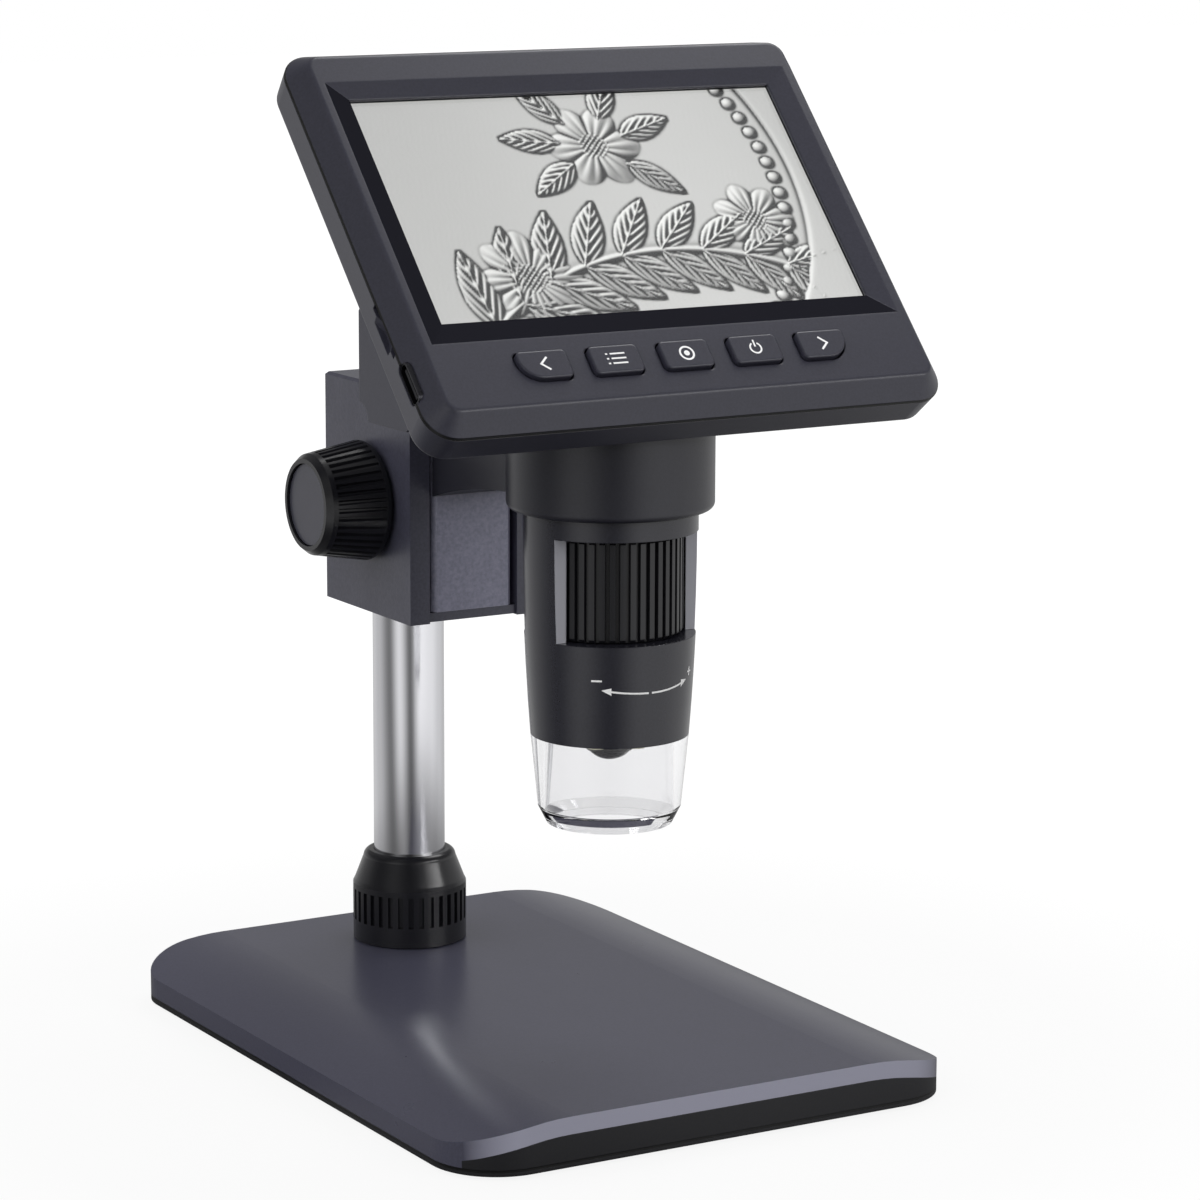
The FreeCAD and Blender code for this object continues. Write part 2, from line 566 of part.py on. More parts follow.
def build_base():
    """Arched top shell over a tray with the steel weight, feet and screws."""
    shell = body("base_top_shell")
    pad(shell, base_outline(shell, "shell_bottom"), "base_height - shell_bottom")
    for side, turn in (("", -1), ("-", 1)):
        # What lies above the arch on this side
        over = [(f"{side}base_flat / 2", "base_height", ARCH, turn),
                (f"{side}{HALF}", "base_edge_height"),
                (f"{side}({HALF} + cut_spare)", "base_edge_height"),
                (f"{side}({HALF} + cut_spare)", "base_height + cut_spare"),
                (f"{side}base_flat / 2", "base_height + cut_spare")]
        pocket(shell, loop(sketch(shell, "XZ_Plane"), over), "base_depth + cut_spare", "Symmetric")
    under = [(f"-{INNER_HALF}", "0"), (INNER_HALF, "0"), (INNER_HALF, INNER_EDGE, INNER, 1),
             ("base_flat / 2", "base_height - shell_thickness"),
             ("-base_flat / 2", "base_height - shell_thickness", INNER, 1),
             (f"-{INNER_HALF}", INNER_EDGE)]
    pocket(shell, loop(sketch(shell, "XZ_Plane"), under), "base_depth + cut_spare", "Symmetric")
    hole = ring(sketch(shell, "XY_Plane"), "0", "column_y", "socket_radius + running_gap")
    pocket(shell, hole, "base_height + cut_spare", back=True)
    threads = sketch(shell, "XY_Plane")
    for sx in ("", "-"):
        for sy in ("", "-"):
            ring(threads, f"{sx}base_screw_x", f"{sy}({DEEP} - base_screw_inset)", "base_screw_radius")
    pocket(shell, threads, SCREW_TOP, back=True)

    tray = body("base_bottom_tray")
    pad(tray, base_outline(tray, "tray_bottom"), "base_height - shell_thickness - tray_bottom")
    for side, turn in (("", -1), ("-", 1)):
        # Room for the shell's arch and side wall
        beside = [(f"{side}base_flat / 2", "base_height - shell_thickness", INNER, turn),
                  (f"{side}{INNER_HALF}", INNER_EDGE), (f"{side}{INNER_HALF}", "shell_bottom"),
                  (f"{side}({HALF} + cut_spare)", "shell_bottom"), (f"{side}({HALF} + cut_spare)", "base_height"),
                  (f"{side}base_flat / 2", "base_height")]
        pocket(tray, loop(sketch(tray, "XZ_Plane"), beside), "base_depth + cut_spare", "Symmetric")
    hollow = loop(sketch(tray, "XY_Plane", "tray_bottom + tray_floor"),
                  rectangle("-plate_width / 2", "-plate_depth / 2", "plate_width / 2", "plate_depth / 2"))
    pocket(tray, hollow, "base_height", back=True)
    counterbore = ring(sketch(tray, "XY_Plane"), "0", "column_y", "pivot_head + part_gap")
    pocket(tray, counterbore, "base_height", back=True)
    feet = sketch(tray, "XY_Plane")
    heads = sketch(tray, "XY_Plane")
    shanks = sketch(tray, "XY_Plane")
    for sx in ("", "-"):
        for sy in ("", "-"):
            ring(feet, f"{sx}({HALF} - foot_inset)", f"{sy}({DEEP} - foot_inset)", "foot_radius")
            ring(heads, f"{sx}base_screw_x", f"{sy}({DEEP} - base_screw_inset)", "base_screw_head")
            ring(shanks, f"{sx}base_screw_x", f"{sy}({DEEP} - base_screw_inset)", "base_screw_radius")
    pocket(tray, feet, "foot_height", back=True)
    pocket(tray, heads, "tray_bottom + tray_floor / 2", back=True)
    pocket(tray, shanks, "base_height", back=True)

    plate = box("plate_width", "plate_depth", "plate_thickness")
    place(plate, "-plate_width / 2", "-plate_depth / 2", "tray_bottom + tray_floor")
    gap = rod("socket_flange + part_gap", "base_height", y="column_y")
    keep(cut(plate, gap), "base_weight_plate")

    feet, screws = [], []
    for sx in ("", "-"):
        for sy in ("", "-"):
            feet.append(rod("foot_radius", "foot_height",
                            f"{sx}({HALF} - foot_inset)", f"{sy}({DEEP} - foot_inset)"))
            spot = (f"{sx}base_screw_x", f"{sy}({DEEP} - base_screw_inset)")
            head = rod("base_screw_head", "tray_floor / 2", *spot, "tray_bottom")
            shank = rod("base_screw_radius", f"{SCREW_TOP} - tray_bottom", *spot, "tray_bottom")
            screws.append(fuse(head, shank))
    group("rubber_feet", feet)
    group("base_screws", screws)


SOCKET_FOOT = "(tray_bottom + tray_floor)"
COLUMN_FOOT = f"({SOCKET_FOOT} + socket_floor + part_gap)"
PIVOT_FOOT = "(tray_bottom + pivot_lift)"


def build_column():
    """Socket, lock collar and the column with its pivot screw."""
    socket = body("column_socket")
    turned(socket, [
        ("pivot_radius + running_gap", SOCKET_FOOT), ("socket_flange", SOCKET_FOOT),
        ("socket_flange", "base_height - shell_thickness"),
        ("socket_radius", "base_height - shell_thickness"), ("socket_radius", "socket_top"),
        ("column_radius + running_gap", "socket_top"),
        ("column_radius + running_gap", f"{SOCKET_FOOT} + socket_floor"),
        ("pivot_radius + running_gap", f"{SOCKET_FOOT} + socket_floor")])
    place(socket, y="column_y")

    collar = body("column_lock_collar")
    turned(collar, [
        ("socket_radius + running_gap", "base_height + part_gap"),
        ("collar_radius", "base_height + part_gap"),
        ("collar_radius", "collar_shoulder - collar_edge"),
        ("collar_radius - collar_edge / 2", "collar_shoulder"),
        ("collar_neck + collar_round / 4", "collar_top - collar_round * 0.9", "collar_round", 1),
        ("collar_neck - collar_round / 2", "collar_top"),
        ("column_radius + 2 * running_gap", "collar_top"),
        ("column_radius + 2 * running_gap", "socket_top + part_gap"),
        ("socket_radius + running_gap", "socket_top + part_gap")])
    groove = sketch(collar, "XY_Plane", "base_height + collar_band")
    loop(groove, rectangle("collar_radius - collar_groove", "-collar_notch",
                           "collar_radius + cut_spare", "collar_notch"))
    around(collar, pocket(collar, groove, "collar_rib_length", back=True), groove, "collar_ribs")
    place(collar, y="column_y")

    outside = rod("column_radius", f"column_top - {COLUMN_FOOT}", y="column_y", z=COLUMN_FOOT)
    inside = rod("column_radius - column_wall", "column_top", y="column_y")
    keep(cut(outside, inside), "column_tube")
    plug = rod("column_radius - column_wall", "plug_length", y="column_y", z=COLUMN_FOOT)
    thread = rod("pivot_radius", f"{PIVOT_FOOT} + pivot_length", y="column_y")
    keep(cut(plug, thread), "column_end_plug")
    head = rod("pivot_head", f"{SOCKET_FOOT} - {PIVOT_FOOT} - running_gap", y="column_y", z=PIVOT_FOOT)
    shank = rod("pivot_radius", "pivot_length", y="column_y", z=PIVOT_FOOT)
    keep(fuse(head, shank), "column_pivot_screw")


SLIDE_BOTTOM = "(block_bottom + lip_thickness + part_gap)"
RACK_PITCH_Y = "(shaft_y - gear_module * gear_teeth / 2)"
CHANNEL_BACK = "(block_front + channel_depth)"
RACK_HALF = "gear_width / 2"
SCREW_HEIGHTS = ("arm_bottom + arm_screw_inset", "arm_top - arm_screw_inset")


def build_carriage():
    """Housing on top of the column: channel, guides, bushes and clamp screw."""
    housing = body("carriage_housing")
    half = "block_width / 2"
    groove_start = "block_front + groove_front"
    groove_end = "block_front + groove_front + groove_height"
    slot_back = f"{RACK_PITCH_Y} + gear_addendum + part_gap"
    right = [(half, "block_back"), (half, "block_front"), ("channel_width / 2", "block_front"),
             ("channel_width / 2", groove_start), ("groove_width / 2", groove_start),
             ("groove_width / 2", groove_end), ("channel_width / 2", groove_end),
             ("channel_width / 2", CHANNEL_BACK), (f"{RACK_HALF} + part_gap", CHANNEL_BACK),
             (f"{RACK_HALF} + part_gap", slot_back)]
    left = [(f"-({x})", y) for x, y in reversed(right)]
    pad(housing, loop(sketch(housing, "XY_Plane", "block_bottom"), right + left),
        "block_top - block_bottom")
    dress(housing, "Chamfer", level_at(value("block_top")), Size="block_chamfer")
    bore = ring(sketch(housing, "XY_Plane", "block_bottom"), "0", "column_y", "column_radius")
    pocket(housing, bore, "column_top - block_bottom", back=True)
    bushes = ring(sketch(housing, "YZ_Plane"), "shaft_y", "shaft_z", "bush_radius")
    pocket(housing, bushes, "block_width + cut_spare", "Symmetric")
    well = ring(sketch(housing, "YZ_Plane"), "shaft_y", "shaft_z",
                "gear_module * gear_teeth / 2 + gear_addendum + part_gap")
    pocket(housing, well, "gear_width + 2 * part_gap", "Symmetric")
    clamp = ring(sketch(housing, "YZ_Plane"), "column_y", "block_bottom + clamp_height", "clamp_radius")
    pocket(housing, clamp, "block_width", back=True)

    plate = box("channel_width", "channel_depth - lip_recess", "lip_thickness")
    place(plate, "-channel_width / 2", "block_front + lip_recess", "block_bottom + lip_lift")
    tongue = box("groove_width", "groove_height", "lip_thickness")
    place(tongue, "-groove_width / 2", "block_front + groove_front", "block_bottom + lip_lift")
    keep(fuse(plate, tongue), "carriage_bottom_plate")

    gibs = []
    for side in ("-groove_width / 2", "groove_width / 2 - gib_thickness"):
        strip = box("gib_thickness", "groove_height",
                    "block_top - block_bottom - lip_thickness - 3 * part_gap")
        gibs.append(place(strip, side, "block_front + groove_front",
                          "block_bottom + lip_thickness + lip_lift"))
    group("guide_strips", gibs)

    bushes = []
    for start in ("-block_width / 2", "block_width / 2 - bush_length"):
        outer = rod("bush_radius", "bush_length", start, "shaft_y", "shaft_z", (0, 1, 0), "90")
        inner = rod("shaft_radius + running_gap", "bush_length", start, "shaft_y", "shaft_z",
                    (0, 1, 0), "90")
        bushes.append(cut(outer, inner))
    group("shaft_bushes", bushes)
    keep(rod("clamp_radius", "block_width / 2 - column_radius - clamp_setback", "column_radius",
             "column_y", "block_bottom + clamp_height", (0, 1, 0), "90"), "column_clamp_screw")


def tooth(flare):
    """Half widths of one tooth at its foot and its tip."""
    thick = "(pi * gear_module / 4 - gear_backlash)"
    return f"({thick} + gear_dedendum * {flare})", f"({thick} - gear_addendum * {flare})"


def build_focus_drive():
    """Shaft with its pinion, knobs and caps."""
    reach = "(knob_start + knob_length - cap_thickness - cap_sink)"
    keep(rod("shaft_radius", f"2 * {reach}", f"-{reach}", "shaft_y", "shaft_z", (0, 1, 0), "90"),
         "pinion_shaft")

    pinion = body("focus_pinion")
    pitch = "gear_module * gear_teeth / 2"
    disc = ring(sketch(pinion, "XY_Plane"), "0", "0", f"{pitch} - gear_dedendum")
    ring(disc, "0", "0", "shaft_radius")
    pad(pinion, disc, "gear_width", "Symmetric")
    foot, tip = tooth("pinion_flare")
    teeth = loop(sketch(pinion, "XY_Plane"), [
        (f"{pitch} - gear_dedendum - gear_sink", f"-{foot}"), (f"{pitch} + gear_addendum", f"-{tip}"),
        (f"{pitch} + gear_addendum", tip), (f"{pitch} - gear_dedendum - gear_sink", foot)])
    around(pinion, pad(pinion, teeth, "gear_width", "Symmetric"), disc, "gear_teeth")
    # The body's own axis lies along X, with a tooth pointing forward at the rack
    forward = Rotation(Vector(0, -1, 0), Vector(0, 0, -1), Vector(1, 0, 0), "XYZ")
    pinion.Placement = Placement(Vector(0, value("shaft_y"), value("shaft_z")), forward)
    bind(pinion, **{"Placement.Base.y": "shaft_y", "Placement.Base.z": "shaft_z"})

    for name, side in (("left", -1), ("right", 1)):
        knob = body(f"{name}_focus_knob")
        turned(knob, [
            ("shaft_radius", "knob_start"),
            ("knob_inner_radius - knob_round", "knob_start", "knob_round", 1),
            ("knob_inner_radius", "knob_start + knob_round"),
            ("knob_outer_radius", "knob_start + knob_length - knob_rim"),
            ("knob_outer_radius - knob_rim * 0.8", "knob_start + knob_length"),
            ("cap_radius + cap_gap", "knob_start + knob_length"),
            ("cap_radius + cap_gap", reach), ("shaft_radius", reach)])
        # A notch that narrows with the cone, from behind the rim to near the inner end
        ends = []
        for place_z, radius in (("knob_start + knob_notch_start", "knob_inner_radius"),
                                ("knob_start + knob_length - knob_notch_end", "knob_outer_radius")):
            notch = sketch(knob, "XY_Plane", place_z)
            floor, mouth = f"{radius} - knob_groove", f"{radius} + knob_groove"
            loop(notch, [(floor, "-knob_notch_floor"), (mouth, "-knob_notch_mouth"),
                         (mouth, "knob_notch_mouth"), (floor, "knob_notch_floor")])
            ends.append(notch)
        doc.recompute()
        groove = feature(knob, "SubtractiveLoft", ends)
        around(knob, groove, ends[0], "knob_ribs")
        place(knob, "0", "shaft_y", "shaft_z", (0, 1, 0), str(90 * side))
        cap = rod("cap_radius", "cap_thickness",
                  f"{side} * (knob_start + knob_length - cap_sink)", "shaft_y", "shaft_z",
                  (0, 1, 0), str(-90 * side))
        keep(cap, f"{name}_knob_cap")


def build_slide():
    """Slide with its rack, and the arm and ring that carry the barrel."""
    slide = body("slide_plate")
    front = "block_front + slide_setback"
    wing_front = "block_front + groove_front + running_gap"
    wing_back = "block_front + groove_front + groove_height - running_gap"
    wing = "(groove_width / 2 - gib_thickness - running_gap)"
    right = [("slide_width / 2", wing_back), (wing, wing_back), (wing, wing_front),
             ("slide_width / 2", wing_front), ("slide_width / 2", f"{front} + slide_bevel"),
             ("slide_width / 2 - slide_bevel", front)]
    left = [(f"-({x})", y) for x, y in reversed(right)]
    pad(slide, loop(sketch(slide, "XY_Plane", SLIDE_BOTTOM), right + left),
        f"block_top - part_gap - {SLIDE_BOTTOM}")
    screws = []
    holes = sketch(slide, "XZ_Plane")
    heads = sketch(slide, "XZ_Plane", f"-({wing_back} - arm_screw_sink)")
    for side in ("", "-"):
        for height in SCREW_HEIGHTS:
            spot = (f"{side}arm_screw_x", height)
            ring(holes, *spot, "arm_screw_radius")
            ring(heads, *spot, "arm_screw_head")
            head = rod("arm_screw_head", "arm_screw_sink", spot[0], wing_back, height, (1, 0, 0), "90")
            shank = rod("arm_screw_radius", "arm_screw_length", spot[0], wing_back, height,
                        (1, 0, 0), "90")
            screws.append(fuse(head, shank))
    pocket(slide, holes, "2 * block_back", "Symmetric")
    pocket(slide, heads, "block_back")
    group("arm_screws", screws)

    rack = body("focus_rack")
    bar = loop(sketch(rack, "XY_Plane", SLIDE_BOTTOM), rectangle(
        f"-{RACK_HALF}", wing_back, RACK_HALF, f"{RACK_PITCH_Y} - gear_dedendum"))
    pad(rack, bar, f"block_top - part_gap - {SLIDE_BOTTOM}")
    foot, tip = tooth("rack_flare")
    step = "pi * gear_module"
    # The space opposite the shaft takes the pinion's tooth, so the lowest tooth is whole steps off
    below = f"floor((shaft_z - {SLIDE_BOTTOM} - {foot}) / ({step}) - 0.5)"
    lowest = f"(shaft_z - ({below} + 0.5) * {step})"
    root, crest = f"{RACK_PITCH_Y} - gear_dedendum", f"{RACK_PITCH_Y} + gear_addendum"
    teeth = loop(sketch(rack, "YZ_Plane"), [
        (f"{root} - gear_sink", f"{lowest} - {foot}"), (root, f"{lowest} - {foot}"),
        (crest, f"{lowest} - {tip}"), (crest, f"{lowest} + {tip}"),
        (root, f"{lowest} + {foot}"), (f"{root} - gear_sink", f"{lowest} + {foot}")])
    one = pad(rack, teeth, "gear_width", "Symmetric")
    row = rack.newObject("PartDesign::LinearPattern", "Row")
    row.Originals = [one]
    row.Direction = (teeth, ["V_Axis"])
    row.Mode = "Spacing"
    count = f"floor((block_top - part_gap - {lowest} - {foot}) / ({step})) + 1"
    bind(row, Offset=step, Occurrences=count)
    rack.Tip = row

    arm = body("head_bracket")
    hoop = ring(sketch(arm, "XY_Plane", "ring_bottom"), "0", "optic_y", "ring_radius")
    pad(arm, hoop, "ring_top - ring_bottom")
    dress(arm, "Fillet", level_at(value("ring_bottom")), Radius="ring_round")
    near = "optic_y + ring_radius - arm_sink"
    rise = "(ring_bottom + arm_lift - arm_bottom)"
    sweep = f"((({front}) - ({near}))^2 + {rise}^2) / (2 * {rise})"
    beam = loop(sketch(arm, "YZ_Plane"), [
        (front, "arm_top"), (near, "ring_top - arm_drop"), (near, "ring_bottom + arm_lift", sweep, -1),
        (front, "arm_bottom")])
    pad(arm, beam, "arm_width", "Symmetric")
    bore = ring(sketch(arm, "XY_Plane"), "0", "optic_y", "barrel_radius")
    pocket(arm, bore, "2 * ring_top", back=True)
    threads = sketch(arm, "XZ_Plane", f"-({wing_back} - arm_screw_length)")
    for side in ("", "-"):
        for height in SCREW_HEIGHTS:
            ring(threads, f"{side}arm_screw_x", height, "arm_screw_radius")
    pocket(arm, threads, "block_back")
    grub = sketch(arm, "YZ_Plane")
    pocket(arm, ring(grub, "optic_y", "(ring_bottom + ring_top) / 2", "ring_screw_radius"),
           "base_width", back=True)
    keep(rod("ring_screw_radius", "ring_radius - barrel_radius - 2 * part_gap", "barrel_radius",
             "optic_y", "(ring_bottom + ring_top) / 2", (0, 1, 0), "90"), "ring_set_screw")


CELL_GUIDE = "(cell_radius + running_gap)"
LED_BOARD_FOOT = "(led_board_top - board_thickness)"


def build_barrel():
    """Barrel with its focus wheel, lens cell, lamps, sensor and clear cap."""
    barrel = body("barrel_shell")
    # The barrel narrows faster and faster towards its foot
    taper = [(f"barrel_radius - (barrel_radius - barrel_foot_radius) * ({step} / 6)^2",
              f"barrel_taper_top - (barrel_taper_top - barrel_bottom) * {step} / 6")
             for step in range(6, -1, -1)]
    turned(barrel, [("barrel_foot_radius - cap_wall", "barrel_bottom")] + taper + [
        ("barrel_radius", "barrel_top"),
        ("barrel_radius - barrel_wall", "barrel_top"), ("barrel_radius - barrel_wall", "sensor_shelf"),
        (CELL_GUIDE, "sensor_shelf"), (CELL_GUIDE, "window_top"),
        ("wheel_radius + wheel_room", "window_top"), ("wheel_radius + wheel_room", "window_bottom"),
        (CELL_GUIDE, "window_bottom"), (CELL_GUIDE, "led_board_top"),
        ("barrel_foot_radius - cap_wall", "led_board_top")])
    opening = rectangle("-barrel_radius - cut_spare", "window_bottom", "barrel_radius + cut_spare", "window_top")
    front = loop(sketch(barrel, "XZ_Plane", "window_plane"), opening)
    pocket(barrel, front, "barrel_radius + cut_spare", back=True)
    rear = loop(sketch(barrel, "XZ_Plane", "-window_plane"), opening)
    pocket(barrel, rear, "barrel_radius + cut_spare")
    place(barrel, y="optic_y")

    wheel = body("focus_wheel")
    turned(wheel, [
        (CELL_GUIDE, "window_bottom + part_gap"),
        ("wheel_radius - wheel_edge", "window_bottom + part_gap"),
        ("wheel_radius", "window_bottom + part_gap + wheel_edge"),
        ("wheel_radius", "window_top - part_gap - wheel_edge"),
        ("wheel_radius - wheel_edge", "window_top - part_gap"), (CELL_GUIDE, "window_top - part_gap")])
    groove = sketch(wheel, "XY_Plane", "window_bottom")
    floor, mouth = "wheel_radius - wheel_groove", "wheel_radius + wheel_groove"
    loop(groove, [(floor, "-wheel_notch_floor"), (mouth, "-wheel_notch_mouth"),
                  (mouth, "wheel_notch_mouth"), (floor, "wheel_notch_floor")])
    around(wheel, pocket(wheel, groove, "window_top - window_bottom", back=True), groove, "wheel_ribs")
    place(wheel, y="optic_y")

    cell = body("lens_cell")
    turned(cell, [
        ("lens_radius", "nose_bottom"), ("nose_radius - nose_edge", "nose_bottom"),
        ("nose_radius", "nose_bottom + nose_edge"), ("nose_radius", "cell_bottom"),
        ("cell_radius", "cell_bottom"), ("cell_radius", "cell_top"), ("cell_bore", "cell_top"),
        ("cell_bore", "cell_bottom + cell_floor"), ("lens_radius", "cell_bottom + cell_floor")])
    place(cell, y="optic_y")
    keep(rod("lens_radius", "lens_thickness", y="optic_y", z="nose_bottom + nose_edge"), "objective_lens")

    board = rod("barrel_foot_radius - cap_wall", "board_thickness", y="optic_y", z=LED_BOARD_FOOT)
    middle = rod("nose_radius + nose_room", "board_thickness", y="optic_y", z=LED_BOARD_FOOT)
    keep(cut(board, middle), "led_ring_board")
    lamps = []
    for index in range(int(value("led_count"))):
        angle = f"{index} * 360 / led_count"
        spot = (f"led_circle * cos({angle})", f"optic_y + led_circle * sin({angle})")
        lamps.append(rod("led_radius", "led_height", *spot, f"{LED_BOARD_FOOT} - led_height"))
    group("led_lamps", lamps)

    cap = body("clear_cap")
    bevel = "(cap_bottom + cap_bevel_height)"
    turned(cap, [
        ("cap_opening", "cap_bottom"), ("cap_foot_radius", "cap_bottom"),
        ("cap_waist_radius", bevel), ("barrel_foot_radius", "barrel_bottom"),
        ("barrel_foot_radius - cap_wall", "barrel_bottom"),
        ("barrel_foot_radius - cap_wall", LED_BOARD_FOOT),
        ("barrel_foot_radius - 2 * cap_wall", LED_BOARD_FOOT),
        ("barrel_foot_radius - 2 * cap_wall", "barrel_bottom"),
        ("cap_waist_radius - cap_wall", bevel),
        ("cap_foot_radius - cap_wall", "cap_bottom + cap_wall"),
        ("cap_opening", "cap_bottom + cap_wall")])
    place(cap, y="optic_y")

    keep(rod("barrel_radius - barrel_wall", "board_thickness", y="optic_y", z="sensor_shelf"), "sensor_board")
    chip = box("sensor_size", "sensor_size", "sensor_thickness")
    keep(place(chip, "-sensor_size / 2", "optic_y - sensor_size / 2", "sensor_shelf - sensor_thickness"),
         "image_sensor")


CASE_HALF = "(face_half_width + case_flare)"
CASE_LOW = "(-face_down - case_flare)"
CASE_HIGH = "(face_up + case_flare)"
CAVITY_OUT = "(lip_in + window_thickness)"
KEYS = ("button_back", "button_menu", "button_select", "button_power", "button_next")


def along(y, z):
    """How far up the screen a point (y, z) of the part lies."""
    return f"((({y}) - optic_y) * sin(screen_tilt) + (({z}) - screen_z) * cos(screen_tilt))"


def out(y, z):
    """How far in front of the screen a point (y, z) of the part lies."""
    return f"((({z}) - screen_z) * sin(screen_tilt) - (({y}) - optic_y) * cos(screen_tilt))"


def case_outline(item, offset, shrink):
    """The display's outline, drawn in by some amount."""
    return loop(sketch(item, "XY_Plane", offset), rounded(
        f"-({CASE_HALF} - {shrink})", f"({CASE_LOW} + {shrink})", f"({CASE_HALF} - {shrink})",
        f"({CASE_HIGH} - {shrink})", f"case_corner - {shrink}"))


def key_outline(made, index, extra):
    """One button's outline, larger by some amount all round."""
    low_left = "key_sweep" if index == -2 else "key_round"
    low_right = "key_sweep" if index == 2 else "key_round"
    return loop(made, rounded(
        f"({index} * key_pitch - key_width / 2 - {extra})", f"(-key_row - key_height / 2 - {extra})",
        f"({index} * key_pitch + key_width / 2 + {extra})", f"(-key_row + key_height / 2 + {extra})",
        f"{low_left} + {extra}", f"{low_right} + {extra}", f"key_round + {extra}", f"key_round + {extra}"))


def port_outline(item):
    """The charging port's outline, seen from the side, at the case's left wall."""
    made = sketch(item, "YZ_Plane", f"-({CASE_HALF} - case_side - cut_spare / 2)")
    return loop(made, rounded("-port_low", "(-parting_in - port_thickness / 2)", "-port_high",
                              "(-parting_in + port_thickness / 2)", "port_thickness * 0.42"))


def screw_spots():
    return [(f"{side}cover_screw_x", up) for side in ("", "-")
            for up in ("cover_screw_up", "-cover_screw_down")]


def build_bezel():
    """Front of the display: bevelled screen opening and five buttons."""
    bezel = body("display_bezel")
    feature(bezel, "AdditiveLoft", [case_outline(bezel, "-parting_in", "0"),
                                    case_outline(bezel, "face_out", "case_flare")])
    outer = loop(sketch(bezel, "XY_Plane", "face_out"), rectangle(
        "-bevel_half_width", "-bevel_down", "bevel_half_width", "bevel_up"))
    inner = loop(sketch(bezel, "XY_Plane"), rectangle(
        "-screen_width / 2", "-screen_height / 2", "screen_width / 2", "screen_height / 2"))
    feature(bezel, "SubtractiveLoft", [outer, inner])
    dress(bezel, "Fillet", outside(level_at(value("face_out")), "bevel"), Radius="edge_round")
    hole = loop(sketch(bezel, "XY_Plane"), rectangle(
        "-screen_width / 2", "-screen_height / 2", "screen_width / 2", "screen_height / 2"))
    pocket(bezel, hole, "2 * parting_in")
    pane = loop(sketch(bezel, "XY_Plane", "-parting_in"), rectangle(
        "-screen_width / 2 - window_margin", "-screen_height / 2 - window_margin",
        "screen_width / 2 + window_margin", "screen_height / 2 + window_margin"))
    pocket(bezel, pane, "parting_in - lip_in", back=True)
    pocket(bezel, case_outline(bezel, "-parting_in", "case_side"), f"parting_in - {CAVITY_OUT}", back=True)
    holes = sketch(bezel, "XY_Plane", "face_out")
    for index in range(-2, 3):
        key_outline(holes, index, "key_gap")
    pocket(bezel, holes, "face_out + 2 * parting_in")
    posts = sketch(bezel, "XY_Plane", "-parting_in")
    threads = sketch(bezel, "XY_Plane", "-parting_in")
    for spot in screw_spots():
        ring(posts, *spot, "cover_boss")
        ring(threads, *spot, "cover_screw_radius")
    pad(bezel, posts, f"parting_in - {CAVITY_OUT}")
    pocket(bezel, threads, f"parting_in - {CAVITY_OUT}", back=True)
    pocket(bezel, port_outline(bezel), "case_side + 2 * cut_spare")
    on_screen(bezel)

    for index, name in enumerate(KEYS, start=-2):
        key = body(name)
        pad(key, key_outline(sketch(key, "XY_Plane", f"-({CAVITY_OUT} + part_gap)"), index, "0"),
            f"{CAVITY_OUT} + part_gap + face_out + key_rise")
        dress(key, "Fillet", level_at(value("face_out + key_rise")), Radius="key_edge")
        flange = key_outline(sketch(key, "XY_Plane", f"-({CAVITY_OUT} + part_gap)"), index, "key_flange")
        pad(key, flange, "key_flange_thickness", back=True)
        on_screen(key)


